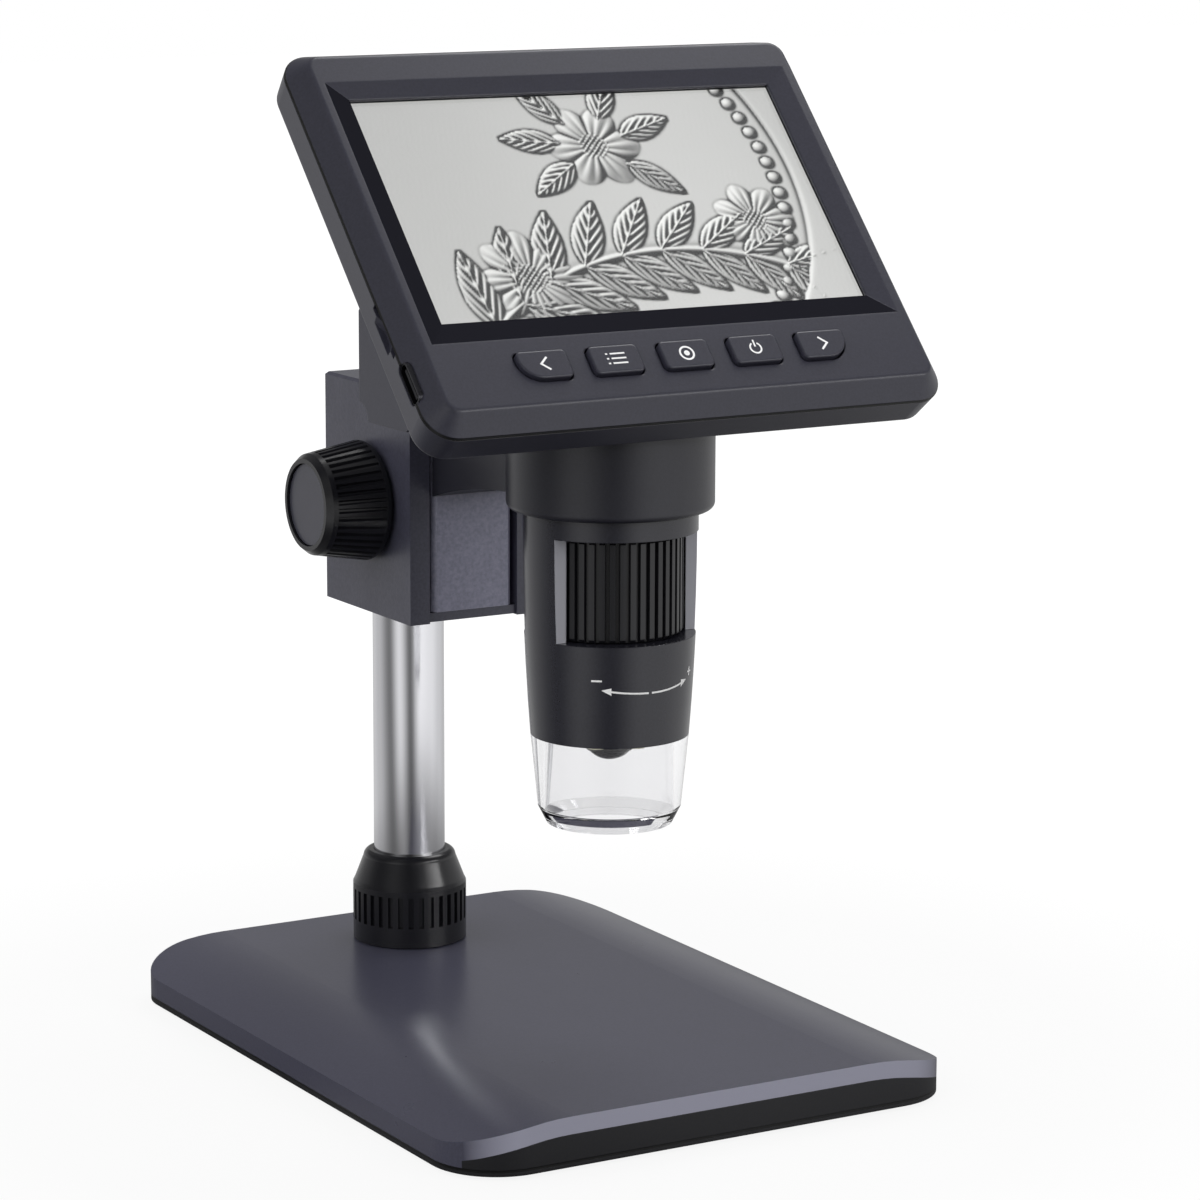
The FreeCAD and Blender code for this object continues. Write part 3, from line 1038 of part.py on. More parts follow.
def build_rear_cover():
    """Back of the display: flat shell, wedge over the ring and the barrel's housing."""
    rear = body("display_rear_cover")
    level = ("(ring_top - screen_z) * cos(screen_tilt)", "(ring_top - screen_z) * sin(screen_tilt)",
             "screen_tilt - 90")
    pad(rear, ring(sketch(rear, "XY_Plane", lean=level), "0", "0", "hump_radius"), "hump_top - ring_top")
    front = loop(sketch(rear, "XY_Plane", "-(rear_in - part_gap)"), rectangle(
        "-screen_width", "-screen_width", "screen_width", "screen_width"))
    pocket(rear, front, "screen_width", back=True)
    feature(rear, "AdditiveLoft", [case_outline(rear, "-parting_in", "0"),
                                   case_outline(rear, "-rear_in", "rear_draft")])
    doc.recompute()
    back = level_at(-value("rear_in"))
    dress(rear, "Fillet", lambda edge: back(edge) and max(
        abs(edge.BoundBox.XMin), abs(edge.BoundBox.XMax)) > value("hump_radius + 2 * cut_spare"), Radius="rear_round")
    corner_up = "ring_top + wedge_round"
    corner_in = "wedge_back - wedge_round"
    inside = "-(parting_in + cut_spare)"
    wedge = loop(sketch(rear, "YZ_Plane"), [
        (along("wedge_front", "ring_top"), out("wedge_front", "ring_top")),
        (along("wedge_front", "ring_top"), inside), (along("wedge_back", "wedge_top"), inside),
        (along("wedge_back", "wedge_top"), out("wedge_back", "wedge_top")),
        (along("wedge_back", corner_up), out("wedge_back", corner_up), "wedge_round", 1),
        (along(corner_in, "ring_top"), out(corner_in, "ring_top"))])
    pad(rear, wedge, f"2 * ({CASE_HALF} - rear_draft)", "Symmetric")
    pocket(rear, case_outline(rear, "-parting_in", "case_side"), "rear_in - case_wall - parting_in")
    wall_y, floor_z = "wedge_back - wedge_wall", "ring_top + wedge_wall"
    hollow = loop(sketch(rear, "YZ_Plane"), [
        (along(wall_y, floor_z), out(wall_y, floor_z)),
        (along("wedge_front - wedge_wall", floor_z), out("wedge_front - wedge_wall", floor_z)),
        (along(wall_y, "wedge_top + 2 * wedge_wall"), out(wall_y, "wedge_top + 2 * wedge_wall"))])
    pocket(rear, hollow, f"2 * ({CASE_HALF} - rear_draft - wedge_wall)", "Symmetric")
    neck = ring(sketch(rear, "XY_Plane", lean=level), "0", "0", "barrel_radius")
    pocket(rear, neck, "hump_top - wedge_wall - ring_top", back=True)
    floor = "-(rear_in - case_wall)"
    posts = sketch(rear, "XY_Plane", floor)
    holes = sketch(rear, "XY_Plane", "-parting_in")
    heads = sketch(rear, "XY_Plane", "-(rear_in - case_wall + part_gap)")
    for spot in screw_spots():
        ring(posts, *spot, "cover_boss")
        ring(holes, *spot, "cover_screw_radius")
        ring(heads, *spot, "cover_screw_head")
    pad(rear, posts, "rear_in - case_wall - parting_in")
    pocket(rear, holes, "rear_in")
    pocket(rear, heads, "rear_in")
    rests = sketch(rear, "XY_Plane", floor)
    for side in ("", "-"):
        for up in ("board_post_up", "-board_post_down"):
            ring(rests, f"{side}board_post_x", up, "board_post_radius")
    pad(rear, rests, "board_thickness")
    shelf = sketch(rear, "XY_Plane", floor)
    for side in ("", "-"):
        ring(shelf, f"{side}key_post_x", "-key_row - key_post_drop", "key_post_radius")
    pad(rear, shelf, f"rear_in - case_wall - {CAVITY_OUT} - key_board_gap")
    pocket(rear, port_outline(rear), "case_side + 2 * cut_spare")
    slot = loop(sketch(rear, "YZ_Plane", f"-({CASE_HALF} - case_side - cut_spare / 2)"), rectangle(
        "-slot_low", "-parting_in - slot_thickness", "-slot_high", "-parting_in"))
    pocket(rear, slot, "case_side + 2 * cut_spare")
    scoop = ring(sketch(rear, "XY_Plane", "-parting_in"),
                 f"-({CASE_HALF} + scoop_radius - scoop_depth)", "-(slot_low + slot_high) / 2",
                 "scoop_radius")
    pocket(rear, scoop, "scoop_drop")
    on_screen(rear)


def build_display_inside():
    """What the display holds between its two shells."""
    pane = box("screen_width + 2 * window_margin", "screen_height + 2 * window_margin",
               "window_thickness")
    on_screen(pane, "-screen_width / 2 - window_margin", "-screen_height / 2 - window_margin",
              f"-{CAVITY_OUT}")
    keep(pane, "screen_window")
    panel = box("panel_width", "panel_height", "panel_thickness")
    keep(on_screen(panel, "-panel_width / 2", "-screen_height / 2 - panel_below",
                   f"-{CAVITY_OUT} - panel_thickness"), "lcd_panel")

    board_back = "-(rear_in - case_wall - board_thickness)"
    board = on_screen(box("board_width", "board_height", "board_thickness"), "-board_width / 2",
                      "-board_height / 2", board_back)
    chips = []
    # Each chip's size, and its place on the board, as shares of the sizes that they follow
    for share, across, up in ((1, -0.06, -0.07), (0.7, 0.14, 0.07), (0.6, -0.26, 0.14), (0.4, 0.28, -0.24)):
        chip = box(f"{share} * chip_size", f"{share} * chip_size", "chip_thickness")
        chips.append(on_screen(chip, f"{across} * board_width", f"{up} * board_height",
                               f"{board_back} + board_thickness"))
    keep(fuse(board, *chips), "main_board")
    reader = box("reader_depth", "slot_low - slot_high", "reader_thickness")
    keep(on_screen(reader, f"-({CASE_HALF} - case_side)", "-slot_low",
                   f"{board_back} + board_thickness"), "memory_card_reader")

    key_board_back = f"-({CAVITY_OUT} + key_board_gap)"
    key_board_front = f"({key_board_back} + key_board_thickness)"
    board = box("4 * key_pitch + 2 * key_board_margin", "key_board_above + key_board_below",
                "key_board_thickness")
    keep(on_screen(board, "-2 * key_pitch - key_board_margin", "-key_row - key_board_below",
                   key_board_back), "button_board")
    # Where the back of a pressed button comes to
    pressed = f"-({CAVITY_OUT} + part_gap + key_flange_thickness + key_travel)"
    switches = []
    for index in range(-2, 3):
        base = on_screen(box("switch_size", "0.8 * switch_size", "switch_height"),
                         f"{index} * key_pitch - switch_size / 2", "-key_row - 0.4 * switch_size",
                         key_board_front)
        stem = on_screen(cylinder("switch_stem", f"{pressed} - key_rest - {key_board_front}"),
                         f"{index} * key_pitch", "-key_row", key_board_front)
        switches.append(fuse(base, stem))
    group("button_switches", switches)

    port = body("usb_port")
    wall = loop(sketch(port, "YZ_Plane", f"-({CASE_HALF} - port_wall)"), rounded(
        "-port_low", "(-parting_in - port_thickness / 2)", "-port_high",
        "(-parting_in + port_thickness / 2)", "port_thickness * 0.42"))
    pad(port, wall, "port_depth")
    mouth = loop(sketch(port, "YZ_Plane", f"-({CASE_HALF} - port_wall)"), rounded(
        "(-port_low + port_wall)", "(-parting_in - port_thickness / 2 + port_wall)",
        "(-port_high - port_wall)", "(-parting_in + port_thickness / 2 - port_wall)",
        "port_thickness * 0.3"))
    pocket(port, mouth, "port_depth - port_wall", back=True)
    tongue = loop(sketch(port, "YZ_Plane", f"-({CASE_HALF} - 2 * port_wall)"), rectangle(
        "-port_low + port_tongue_gap", "-parting_in - port_tongue / 2",
        "-port_high - port_tongue_gap", "-parting_in + port_tongue / 2"))
    pad(port, tongue, "port_depth - 1.5 * port_wall")
    on_screen(port)

    cells = []
    for start in (f"-({CASE_HALF} - rear_draft - wedge_wall - part_gap)",
                  f"{CASE_HALF} - rear_draft - wedge_wall - part_gap - cell_length"):
        cells.append(rod("cell_diameter / 2", "cell_length", start,
                         "wedge_back - wedge_wall - cell_diameter / 2",
                         "ring_top + wedge_wall + cell_diameter / 2", (0, 1, 0), "90"))
    group("battery_cells", cells)

    screws = []
    for spot in screw_spots():
        foot = "-(rear_in - case_wall + part_gap)"
        head = on_screen(cylinder("cover_screw_head", "cover_screw_cap"), *spot,
                         f"{foot} - cover_screw_cap")
        shank = on_screen(cylinder("cover_screw_radius", f"rear_in - case_wall - {CAVITY_OUT}"), *spot,
                          foot)
        screws.append(fuse(head, shank))
    group("cover_screws", screws)


def check():
    """Stop if any object failed, before a file is written."""
    doc.recompute()
    for item in doc.Objects:
        if {"Invalid", "Error"} & set(item.State):
            raise RuntimeError(f"{item.Label}: {item.State}")
    for item in PIECES:
        if item.Shape.isNull() or not item.Shape.isValid() or not item.Shape.Solids:
            raise RuntimeError(f"{item.Label}: no valid solid")


def main():
    build_base()
    build_column()
    build_carriage()
    build_focus_drive()
    build_slide()
    build_barrel()
    build_bezel()
    build_rear_cover()
    build_display_inside()
    check()
    os.makedirs("parts", exist_ok=True)
    for item in PIECES:
        item.Shape.exportStep(f"parts/{item.Label}.step")
    print(len(PIECES), "pieces written")


main()
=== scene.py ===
"""Looks of the digital microscope with a built-in screen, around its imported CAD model.

Lengths are millimetres until they become Blender's metres, through MM.
"""
import math

import bpy
import numpy as np
from mathutils import Matrix, Vector


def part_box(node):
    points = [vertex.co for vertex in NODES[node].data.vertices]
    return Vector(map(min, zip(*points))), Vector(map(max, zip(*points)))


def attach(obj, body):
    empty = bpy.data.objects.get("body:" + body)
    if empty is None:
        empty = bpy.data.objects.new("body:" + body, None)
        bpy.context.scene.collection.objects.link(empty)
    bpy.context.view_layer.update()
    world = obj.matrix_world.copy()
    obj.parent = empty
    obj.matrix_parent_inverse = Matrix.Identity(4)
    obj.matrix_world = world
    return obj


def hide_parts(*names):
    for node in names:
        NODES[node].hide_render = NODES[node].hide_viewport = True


MM = 0.001

# The photograph's camera, for a square picture
CAMERA_PLACE = Vector((-421.8, -746.6, 258.2)) * MM
CAMERA_TURN = math.radians(-30.425)
CAMERA_DROP = math.radians(10.82)
CAMERA_ROLL = math.radians(0.176)
CAMERA_LENS = 128.02
CAMERA_SENSOR = 36
CAMERA_RANGE = (0.05, 20)

# The barrel's upright axis, which passes through the middle of the screen
BARREL_Y = -32.3

# The barrel's window for the wheel: the plane of its flat faces, and its lower and upper ends
WHEEL_WINDOW = (BARREL_Y - 6.3, 93.4, 114.1)

# The screen's plane and the size of its picture
SCREEN_MIDDLE = Vector((0, BARREL_Y, 179)) * MM
SCREEN_TILT = math.radians(43.37)
SCREEN_SIZE = (95.04, 53.86)

# The bevel round the screen, outwards from the picture
BEVEL_SIDE, BEVEL_BELOW, BEVEL_ABOVE = 4.48, 5.27, 3.57

# Directions: across and upright, then up the screen and out of it, towards the user
ACROSS = Vector((1, 0, 0))
UPRIGHT = Vector((0, 0, 1))
UP = Vector((0, math.sin(SCREEN_TILT), math.cos(SCREEN_TILT)))
OUT = Vector((0, -math.cos(SCREEN_TILT), math.sin(SCREEN_TILT)))

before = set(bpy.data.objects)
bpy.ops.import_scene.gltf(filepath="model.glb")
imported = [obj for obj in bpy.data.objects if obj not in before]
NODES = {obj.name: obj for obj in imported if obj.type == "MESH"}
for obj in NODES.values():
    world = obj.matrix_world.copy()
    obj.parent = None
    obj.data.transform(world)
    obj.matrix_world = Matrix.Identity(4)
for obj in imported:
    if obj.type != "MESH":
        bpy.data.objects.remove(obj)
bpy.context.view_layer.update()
BUTTONS = ("button_back", "button_menu", "button_select", "button_power", "button_next")


def linear(red, green, blue):
    """A colour as a screen shows it (0 to 255), as Blender reckons with it."""
    shares = [channel / 255 for channel in (red, green, blue)]
    return tuple(s / 12.92 if s <= 0.04045 else ((s + 0.055) / 1.055) ** 2.4 for s in shares) + (1,)


CHARCOAL = linear(52, 52, 63)
SHADED = linear(36, 36, 44)
COATED = linear(64, 64, 77)
SLIDE = linear(128, 128, 146)
BASE = linear(68, 68, 82)
# Painted shade for the screen's lower and left bevels
BEVEL_PAINTED_SHADE = linear(32, 32, 38)
# Painted light on the flat faces of the barrel's wheel window
CUT_FACE_LIGHT = linear(150, 150, 158)
LIT_EDGE = linear(160, 160, 176)
BLACK = linear(26, 26, 30)
GLOSS = linear(24, 24, 28)
GAP_DARK = linear(3, 3, 4)
PAINT = linear(250, 250, 250)


def reach(node, direction, start=Vector((0, 0, 0))):
    """How far a CAD node reaches from a point in a direction: its least and greatest distance."""
    along = [(vertex.co - start).dot(direction) for vertex in NODES[node].data.vertices]
    return min(along), max(along)


class Nodes:
    """A node tree, built up by steps."""

    def __init__(self, tree):
        self.tree = tree

    def add(self, kind, **settings):
        """A new node with its settings."""
        made = self.tree.nodes.new(kind)
        for name, setting in settings.items():
            setattr(made, name, setting)
        return made

    def link(self, source, target):
        """Lead an output to an input."""
        self.tree.links.new(source, target)

    def math(self, operation, first, second=None):
        """A sum on numbers or outputs."""
        made = self.add("ShaderNodeMath", operation=operation)
        for socket, given in zip(made.inputs, (first, second)):
            if isinstance(given, (int, float)):
                socket.default_value = given
            elif given is not None:
                self.link(given, socket)
        return made.outputs[0]

    def along(self, vector, axis):
        """How far a vector reaches along an axis."""
        made = self.add("ShaderNodeVectorMath", operation="DOT_PRODUCT")
        self.link(vector, made.inputs[0])
        made.inputs[1].default_value = axis
        return made.outputs["Value"]

    def spread(self, value, lowest, highest, first, last, shape="LINEAR"):
        """A value between two limits, moved to between two others."""
        made = self.add("ShaderNodeMapRange", interpolation_type=shape)
        for name, given in (("From Min", lowest), ("From Max", highest),
                            ("To Min", first), ("To Max", last)):
            made.inputs[name].default_value = given
        self.link(value, made.inputs["Value"])
        return made.outputs["Result"]


class Finish(Nodes):
    """A material with its node tree, built up by steps."""

    def __init__(self, name, colour, roughness, metallic=0.0, coat=0.0):
        self.material = bpy.data.materials.new(name)
        self.material.use_nodes = True
        super().__init__(self.material.node_tree)
        self.shader = self.tree.nodes["Principled BSDF"]
        self.shader.inputs["Metallic"].default_value = metallic
        self.shader.inputs["Coat Weight"].default_value = coat
        self.shader.inputs["Coat Roughness"].default_value = 0.12
        self.shader.inputs["Base Color"].default_value = colour
        self.shader.inputs["Roughness"].default_value = roughness
        self.colour = colour
        self.roughness = roughness
        self.place = self.add("ShaderNodeTexCoord").outputs["Object"]
        self.normal = None

    def stretched(self, scale):
        """The place, scaled by an amount for each axis."""
        made = self.add("ShaderNodeMapping")
        made.inputs["Scale"].default_value = scale
        self.link(self.place, made.inputs["Vector"])
        return made.outputs["Vector"]

    def offset(self, start):
        """The place, counted from a point."""
        made = self.add("ShaderNodeVectorMath", operation="SUBTRACT")
        self.link(self.place, made.inputs[0])
        made.inputs[1].default_value = start
        return made.outputs["Vector"]

    def distance(self, direction, start):
        """Distance from a plane, in millimetres."""
        return self.math("MULTIPLY", self.along(self.offset(start), direction), 1 / MM)

    def noise(self, size, detail=2.0, stretch=None):
        """Noise whose grains are some millimetres across."""
        made = self.add("ShaderNodeTexNoise")
        made.inputs["Scale"].default_value = 1 / (size * MM)
        made.inputs["Detail"].default_value = detail
        self.link(self.stretched(stretch) if stretch else self.place, made.inputs["Vector"])
        return made.outputs["Fac"]

    def bump(self, height, depth):
        """Raise the surface by a height from 0 to 1, times a depth in millimetres."""
        made = self.add("ShaderNodeBump")
        made.inputs["Distance"].default_value = depth * MM
        self.link(height, made.inputs["Height"])
        if self.normal:
            self.link(self.normal, made.inputs["Normal"])
        self.normal = made.outputs["Normal"]
        self.link(self.normal, self.shader.inputs["Normal"])
        return self

    def vary(self, amount=0.05, size=9.0):
        """Let the roughness drift a little across the piece, as handling leaves it."""
        least, most = self.roughness - amount, self.roughness + amount
        drift = self.spread(self.noise(size, 4.0), 0, 1, least, most)
        self.link(drift, self.shader.inputs["Roughness"])
        return self

    def eased(self, radius):
        """Shade hard edges as if they were rounded."""
        made = self.add("ShaderNodeBevel", samples=6)
        made.inputs["Radius"].default_value = radius * MM
        self.normal = made.outputs["Normal"]
        return self

    def tinted(self, share, colour):
        """Another colour where a share is one."""
        mixed = self.add("ShaderNodeMix", data_type="RGBA")
        source = self.shader.inputs["Base Color"]
        self.link(source.links[0].from_socket, mixed.inputs["A"])
        mixed.inputs["B"].default_value = colour
        self.link(share, mixed.inputs["Factor"])
        self.link(mixed.outputs["Result"], source)
        return self

    def lit_cut_faces(self, plane, low, high, colour, slack=0.05):
        """Painted light: a lighter colour on a cut's upright faces, which lie in a plane across the
        part, as if light from the front falls on them.
        """
        away = self.math("ABSOLUTE", self.distance(Vector((0, 1, 0)), Vector((0, plane * MM, 0))))
        height = self.distance(UPRIGHT, Vector((0, 0, 0)))
        above = self.math("GREATER_THAN", height, low + slack)
        below = self.math("LESS_THAN", height, high - slack)
        near = self.math("LESS_THAN", away, slack)
        return self.tinted(self.math("MULTIPLY", near, self.math("MULTIPLY", above, below)), colour)

    def front_edge(self, colour, least=0.55, full=0.98):
        """A lighter colour where the surface looks to the front, as light catches it."""
        normal = self.add("ShaderNodeNewGeometry").outputs["Normal"]
        facing = self.along(normal, (0, -1, 0))
        return self.tinted(self.spread(facing, least, full, 0, 1), colour)

    def shaded_bevels(self, colour):
        """Painted shade: a darker colour, and no shine, on the screen's lower and left bevels, up to
        their mitres.
        """
        aside = self.distance(ACROSS, SCREEN_MIDDLE)
        upward = self.distance(UP, SCREEN_MIDDLE)
        # How far across each bevel the place is, from 0 at the picture to 1: left, lower, right, upper
        crossed = []
        for way, sign, half, width in ((aside, -1, SCREEN_SIZE[0] / 2, BEVEL_SIDE),
                                       (upward, -1, SCREEN_SIZE[1] / 2, BEVEL_BELOW),
                                       (aside, 1, SCREEN_SIZE[0] / 2, BEVEL_SIDE),
                                       (upward, 1, SCREEN_SIZE[1] / 2, BEVEL_ABOVE)):
            beyond = self.math("SUBTRACT", self.math("MULTIPLY", way, sign), half)
            crossed.append(self.math("DIVIDE", beyond, width))
        # The lower and left bevels take the painted shade; the upper and right ones keep the case's
        # colour
        shaded_across = self.math("MAXIMUM", crossed[0], crossed[1])
        bright = self.math("MAXIMUM", self.math("MAXIMUM", crossed[2], crossed[3]), 0)
        nearest = self.math("GREATER_THAN", shaded_across, bright)
        share = self.math("MULTIPLY", nearest, self.math("LESS_THAN", shaded_across, 1))
        shine = self.shader.inputs["Specular IOR Level"]
        self.link(self.spread(share, 0, 1, shine.default_value, 0), shine)
        return self.tinted(share, colour)

    def grain(self, size, depth):
        """The fine texture of a moulded or coated surface."""
        return self.bump(self.noise(size, 1.5), depth)

    def speckle(self, size, share):
        """Tiny lighter and darker spots in the colour."""
        mixed = self.add("ShaderNodeMix", data_type="RGBA", blend_type="MULTIPLY")
        mixed.inputs["Factor"].default_value = 1.0
        mixed.inputs["A"].default_value = self.colour
        spots = self.spread(self.noise(size), 0.3, 0.7, 1 - share, 1 + share)
        self.link(spots, mixed.inputs["B"])
        self.link(mixed.outputs["Result"], self.shader.inputs["Base Color"])
        return self

    def groove(self, direction, start, width, depth):
        """A dark line all round the piece where a plane meets it."""
        away = self.math("ABSOLUTE", self.distance(direction, start))
        outside = self.spread(away, width * 0.35, width * 0.65, 0, 1, "SMOOTHSTEP")
        return self.tinted(self.math("SUBTRACT", 1, outside), GAP_DARK).bump(outside, depth)

    def rings(self, axis, middle, pitch, depth):
        """Fine turned rings about an axis through a point."""
        across = self.add("ShaderNodeVectorMath", operation="CROSS_PRODUCT")
        self.link(self.offset(middle), across.inputs[0])
        across.inputs[1].default_value = axis
        length = self.add("ShaderNodeVectorMath", operation="LENGTH")
        self.link(across.outputs["Vector"], length.inputs[0])
        turns = self.math("MULTIPLY", length.outputs["Value"], 2 * math.pi / (pitch * MM))
        wave = self.math("SINE", turns)
        return self.bump(self.math("MULTIPLY", self.math("ADD", wave, 1), 0.5), depth)


def moulded(name, colour, roughness, size=0.35, depth=0.012, edge=0.3):
    """Satin moulded plastic."""
    made = Finish(name, colour, roughness).speckle(0.5, 0.1).vary(0.015, 14.0)
    if edge:
        made.eased(edge)
    return made.grain(size, depth)


def coated(name, colour, roughness):
    """Powder-coated metal, with the coat's orange peel under its grain."""
    made = Finish(name, colour, roughness).speckle(0.7, 0.15).vary(0.06)
    return made.grain(1.6, 0.02).grain(0.4, 0.02)


def glossy(name, colour, roughness):
    """Smooth black moulding."""
    return Finish(name, colour, roughness).vary(0.04, 6.0).grain(0.9, 0.004)


def drawn_metal(name, colour, roughness):
    """Drawn tube, with faint lines along its length."""
    made = Finish(name, colour, roughness, metallic=1.0).vary(0.03, 20.0)
    return made.bump(made.noise(0.25, 2.0, (1, 1, 0.01)), 0.003)


def machined(name, colour, roughness):
    """Metal with fine marks of the tool."""
    made = Finish(name, colour, roughness, metallic=1.0).vary(0.08, 4.0)
    return made.bump(made.noise(0.2, 3.0), 0.004)


def clear(name, tint, roughness):
    """Clear moulding."""
    made = Finish(name, tint, roughness)
    made.shader.inputs["Transmission Weight"].default_value = 1.0
    made.shader.inputs["IOR"].default_value = 1.49
    return made.bump(made.noise(3.0, 1.0), 0.004)


def printed_board(name):
    """Green solder mask, with copper tracks that show through it."""
    made = Finish(name, linear(20, 74, 44), 0.35, coat=0.4)
    tracks = made.add("ShaderNodeTexBrick")
    tracks.inputs["Color1"].default_value = linear(22, 84, 50)
    tracks.inputs["Color2"].default_value = linear(16, 62, 38)
    tracks.inputs["Mortar"].default_value = linear(40, 116, 70)
    tracks.inputs["Scale"].default_value = 1 / (2.4 * MM)
    made.link(made.place, tracks.inputs["Vector"])
    made.link(tracks.outputs["Color"], made.shader.inputs["Base Color"])
    return made.bump(tracks.outputs["Fac"], 0.02)


def wear(finish, *names):
    """Give CAD nodes or new pieces a finish."""
    for name in names:
        target = NODES[name] if isinstance(name, str) else name
        target.data.materials.clear()
        target.data.materials.append(finish.material)


def dress_frame():
    """The finish of every CAD node."""
    # Parting lines: the direction across each, a point of it, its width and its depth
    base_line = (UPRIGHT, UPRIGHT * reach("base_top_shell", UPRIGHT)[0], 0.5, 0.15)
    case_line = (OUT, SCREEN_MIDDLE + OUT * reach("display_bezel", OUT, SCREEN_MIDDLE)[0], 0.55, 0.2)
    shell = moulded("base shell", BASE, 0.28, 0.3, 0.004, 0).front_edge(LIT_EDGE)
    wear(shell.groove(*base_line), "base_top_shell")
    wear(moulded("base tray", BLACK, 0.5).groove(*base_line), "base_bottom_tray")
    front = moulded("front case", CHARCOAL, 0.34, 0.35, 0.008, 0.5).groove(*case_line)
    # Painted shade darkens the screen's lower and left bevels
    wear(front.shaded_bevels(BEVEL_PAINTED_SHADE), "display_bezel")
    rear = moulded("rear case", CHARCOAL, 0.36, 0.35, 0.008).groove(*case_line)
    wear(rear, "display_rear_cover")
    wear(moulded("keys", CHARCOAL, 0.34, 0.25, 0.005), *BUTTONS)
    # The wheel window's flat faces get painted light
    barrel = moulded("barrel", SHADED, 0.24, 0.3, 0.004).lit_cut_faces(*WHEEL_WINDOW, CUT_FACE_LIGHT)
    barrel.shader.inputs["Coat Weight"].default_value = 0.15
    wear(barrel, "barrel_shell")
    wear(moulded("bracket", SHADED, 0.32, 0.35, 0.008), "head_bracket")
    wear(coated("housing", COATED, 0.36), "carriage_housing", "carriage_bottom_plate")
    wear(coated("slide", SLIDE, 0.34), "slide_plate")
    wear(glossy("black gloss", GLOSS, 0.24),
         "column_lock_collar", "left_focus_knob", "right_focus_knob")
    wear(glossy("wheel", GLOSS, 0.32), "focus_wheel")
    disc = glossy("knob disc", linear(58, 58, 68), 0.32)
    hub = sum(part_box("left_knob_cap"), Vector()) / 2
    wear(disc.rings(ACROSS, hub, 0.5, 0.006), "left_knob_cap", "right_knob_cap")
    wear(drawn_metal("column", linear(232, 232, 236), 0.15), "column_tube")
    wear(machined("steel", linear(176, 176, 178), 0.32),
         "column_end_plug", "column_pivot_screw", "base_screws", "base_weight_plate", "pinion_shaft",
         "focus_rack", "arm_screws", "ring_set_screw", "column_clamp_screw", "cover_screws", "lcd_panel")
    wear(machined("sockets", linear(60, 60, 64), 0.42), "usb_port", "memory_card_reader")
    wear(machined("brass", linear(190, 150, 84), 0.34),
         "guide_strips", "shaft_bushes", "focus_pinion")
    wear(moulded("socket", BLACK, 0.45), "column_socket")
    wear(moulded("lens cell", linear(18, 18, 20), 0.35), "lens_cell")
    wear(moulded("rubber", linear(24, 24, 25), 0.75, 0.5, 0.03), "rubber_feet")
    wear(printed_board("circuit board"),
         "led_ring_board", "sensor_board", "main_board", "button_board")
    wear(moulded("chips", linear(20, 20, 22), 0.5), "button_switches", "image_sensor")
    wear(moulded("battery wrap", linear(52, 96, 150), 0.3, 2.0, 0.02), "battery_cells")
    wear(clear("clear cap", linear(240, 240, 241), 0.03), "clear_cap")
    wear(clear("lens glass", linear(214, 226, 244), 0.0), "objective_lens")
    wear(clear("window", linear(250, 251, 252), 0.03), "screen_window")
    wear(moulded("lamps", linear(244, 240, 214), 0.25, 0.6, 0.01), "led_lamps")


def on_screen(across, up, out):
    """A point counted from the middle of the screen, in metres."""
    return SCREEN_MIDDLE + (ACROSS * across + UP * up + OUT * out) * MM


def mesh_piece(name, points, faces, finish, body):
    """A new mesh that moves with a CAD body."""
    mesh = bpy.data.meshes.new(name)
    mesh.from_pydata([tuple(point) for point in points], [], faces)
    mesh.update()
    piece = bpy.data.objects.new(name, mesh)
    bpy.context.scene.collection.objects.link(piece)
    mesh.materials.append(finish.material)
    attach(piece, body)
    return piece


# The picture on the screen: a leafy sprig in relief on a polished field, inside a beaded rim
PICTURE_STEP = 0.28
PICTURE_TINT = (1.0, 0.995, 0.965)
LIGHT = (-0.46, 0.55, 0.70)
SLOPE_GAIN = 1.5
CONTRAST = 0.95
HOLLOW_DARK = 5.0
GAMMA = 1.25
FLOWERS = (((-24, -17), 11.5, 8), ((2.0, 14.0), 10.5, 6), ((31, -6), 9.0, 7))

# How far the picture and the panel's frame lie behind the window
PICTURE_GAP, PANEL_GAP = 0.03, 0.08


def blob(x, y, middle, angle, length, width):
    """Coordinates along and across an oval, from -1 to 1 inside it."""
    c, s = math.cos(angle), math.sin(angle)
    dx, dy = x - middle[0], y - middle[1]
    return (dx * c + dy * s) / length, (dy * c - dx * s) / width


def leaf(x, y, foot, angle, length, width):
    """A leaf in relief: domed, with a middle rib and side veins."""
    along, across = blob(x, y, on_circle(foot, length, angle), angle, length, width)
    span = np.clip(1 - along ** 2, 0, 1) ** 0.85 * (1 - 0.25 * along)
    inside = np.clip(1 - (across / np.maximum(span, 1e-3)) ** 2, 0, 1) * (np.abs(along) < 0.99)
    dome = np.sqrt(inside) * 0.9
    rib = np.exp(-(across / 0.08) ** 2) * 0.5
    veins = 0.26 * np.cos(16 * (along - 0.9 * np.abs(across))) * inside
    return np.where(inside > 0, dome + rib + veins, 0)


def flower(x, y, middle, radius, petals):
    """A blossom in relief, with a seeded heart."""
    dx, dy = x - middle[0], y - middle[1]
    distance = np.hypot(dx, dy) / radius
    turn = np.arctan2(dy, dx)
    edge = 0.70 + 0.30 * np.abs(np.cos(turn * petals / 2))
    inside = np.clip(1 - (distance / edge) ** 4, 0, 1)
    ridges = 0.22 * np.cos(turn * petals * 3) * np.clip(distance, 0, 1)
    parting = 0.7 * np.exp(-(np.cos(turn * petals / 2) / 0.14) ** 2) * np.clip(distance, 0, 1)
    cup = 0.65 * np.sin(np.clip(distance, 0, 1) * math.pi * 0.9)
    heart = np.where(distance < 0.3, 0.9 + 0.35 * np.cos(dx * 5) * np.cos(dy * 5), 0)
    return np.maximum(inside * (0.5 + cup + ridges - parting), heart)


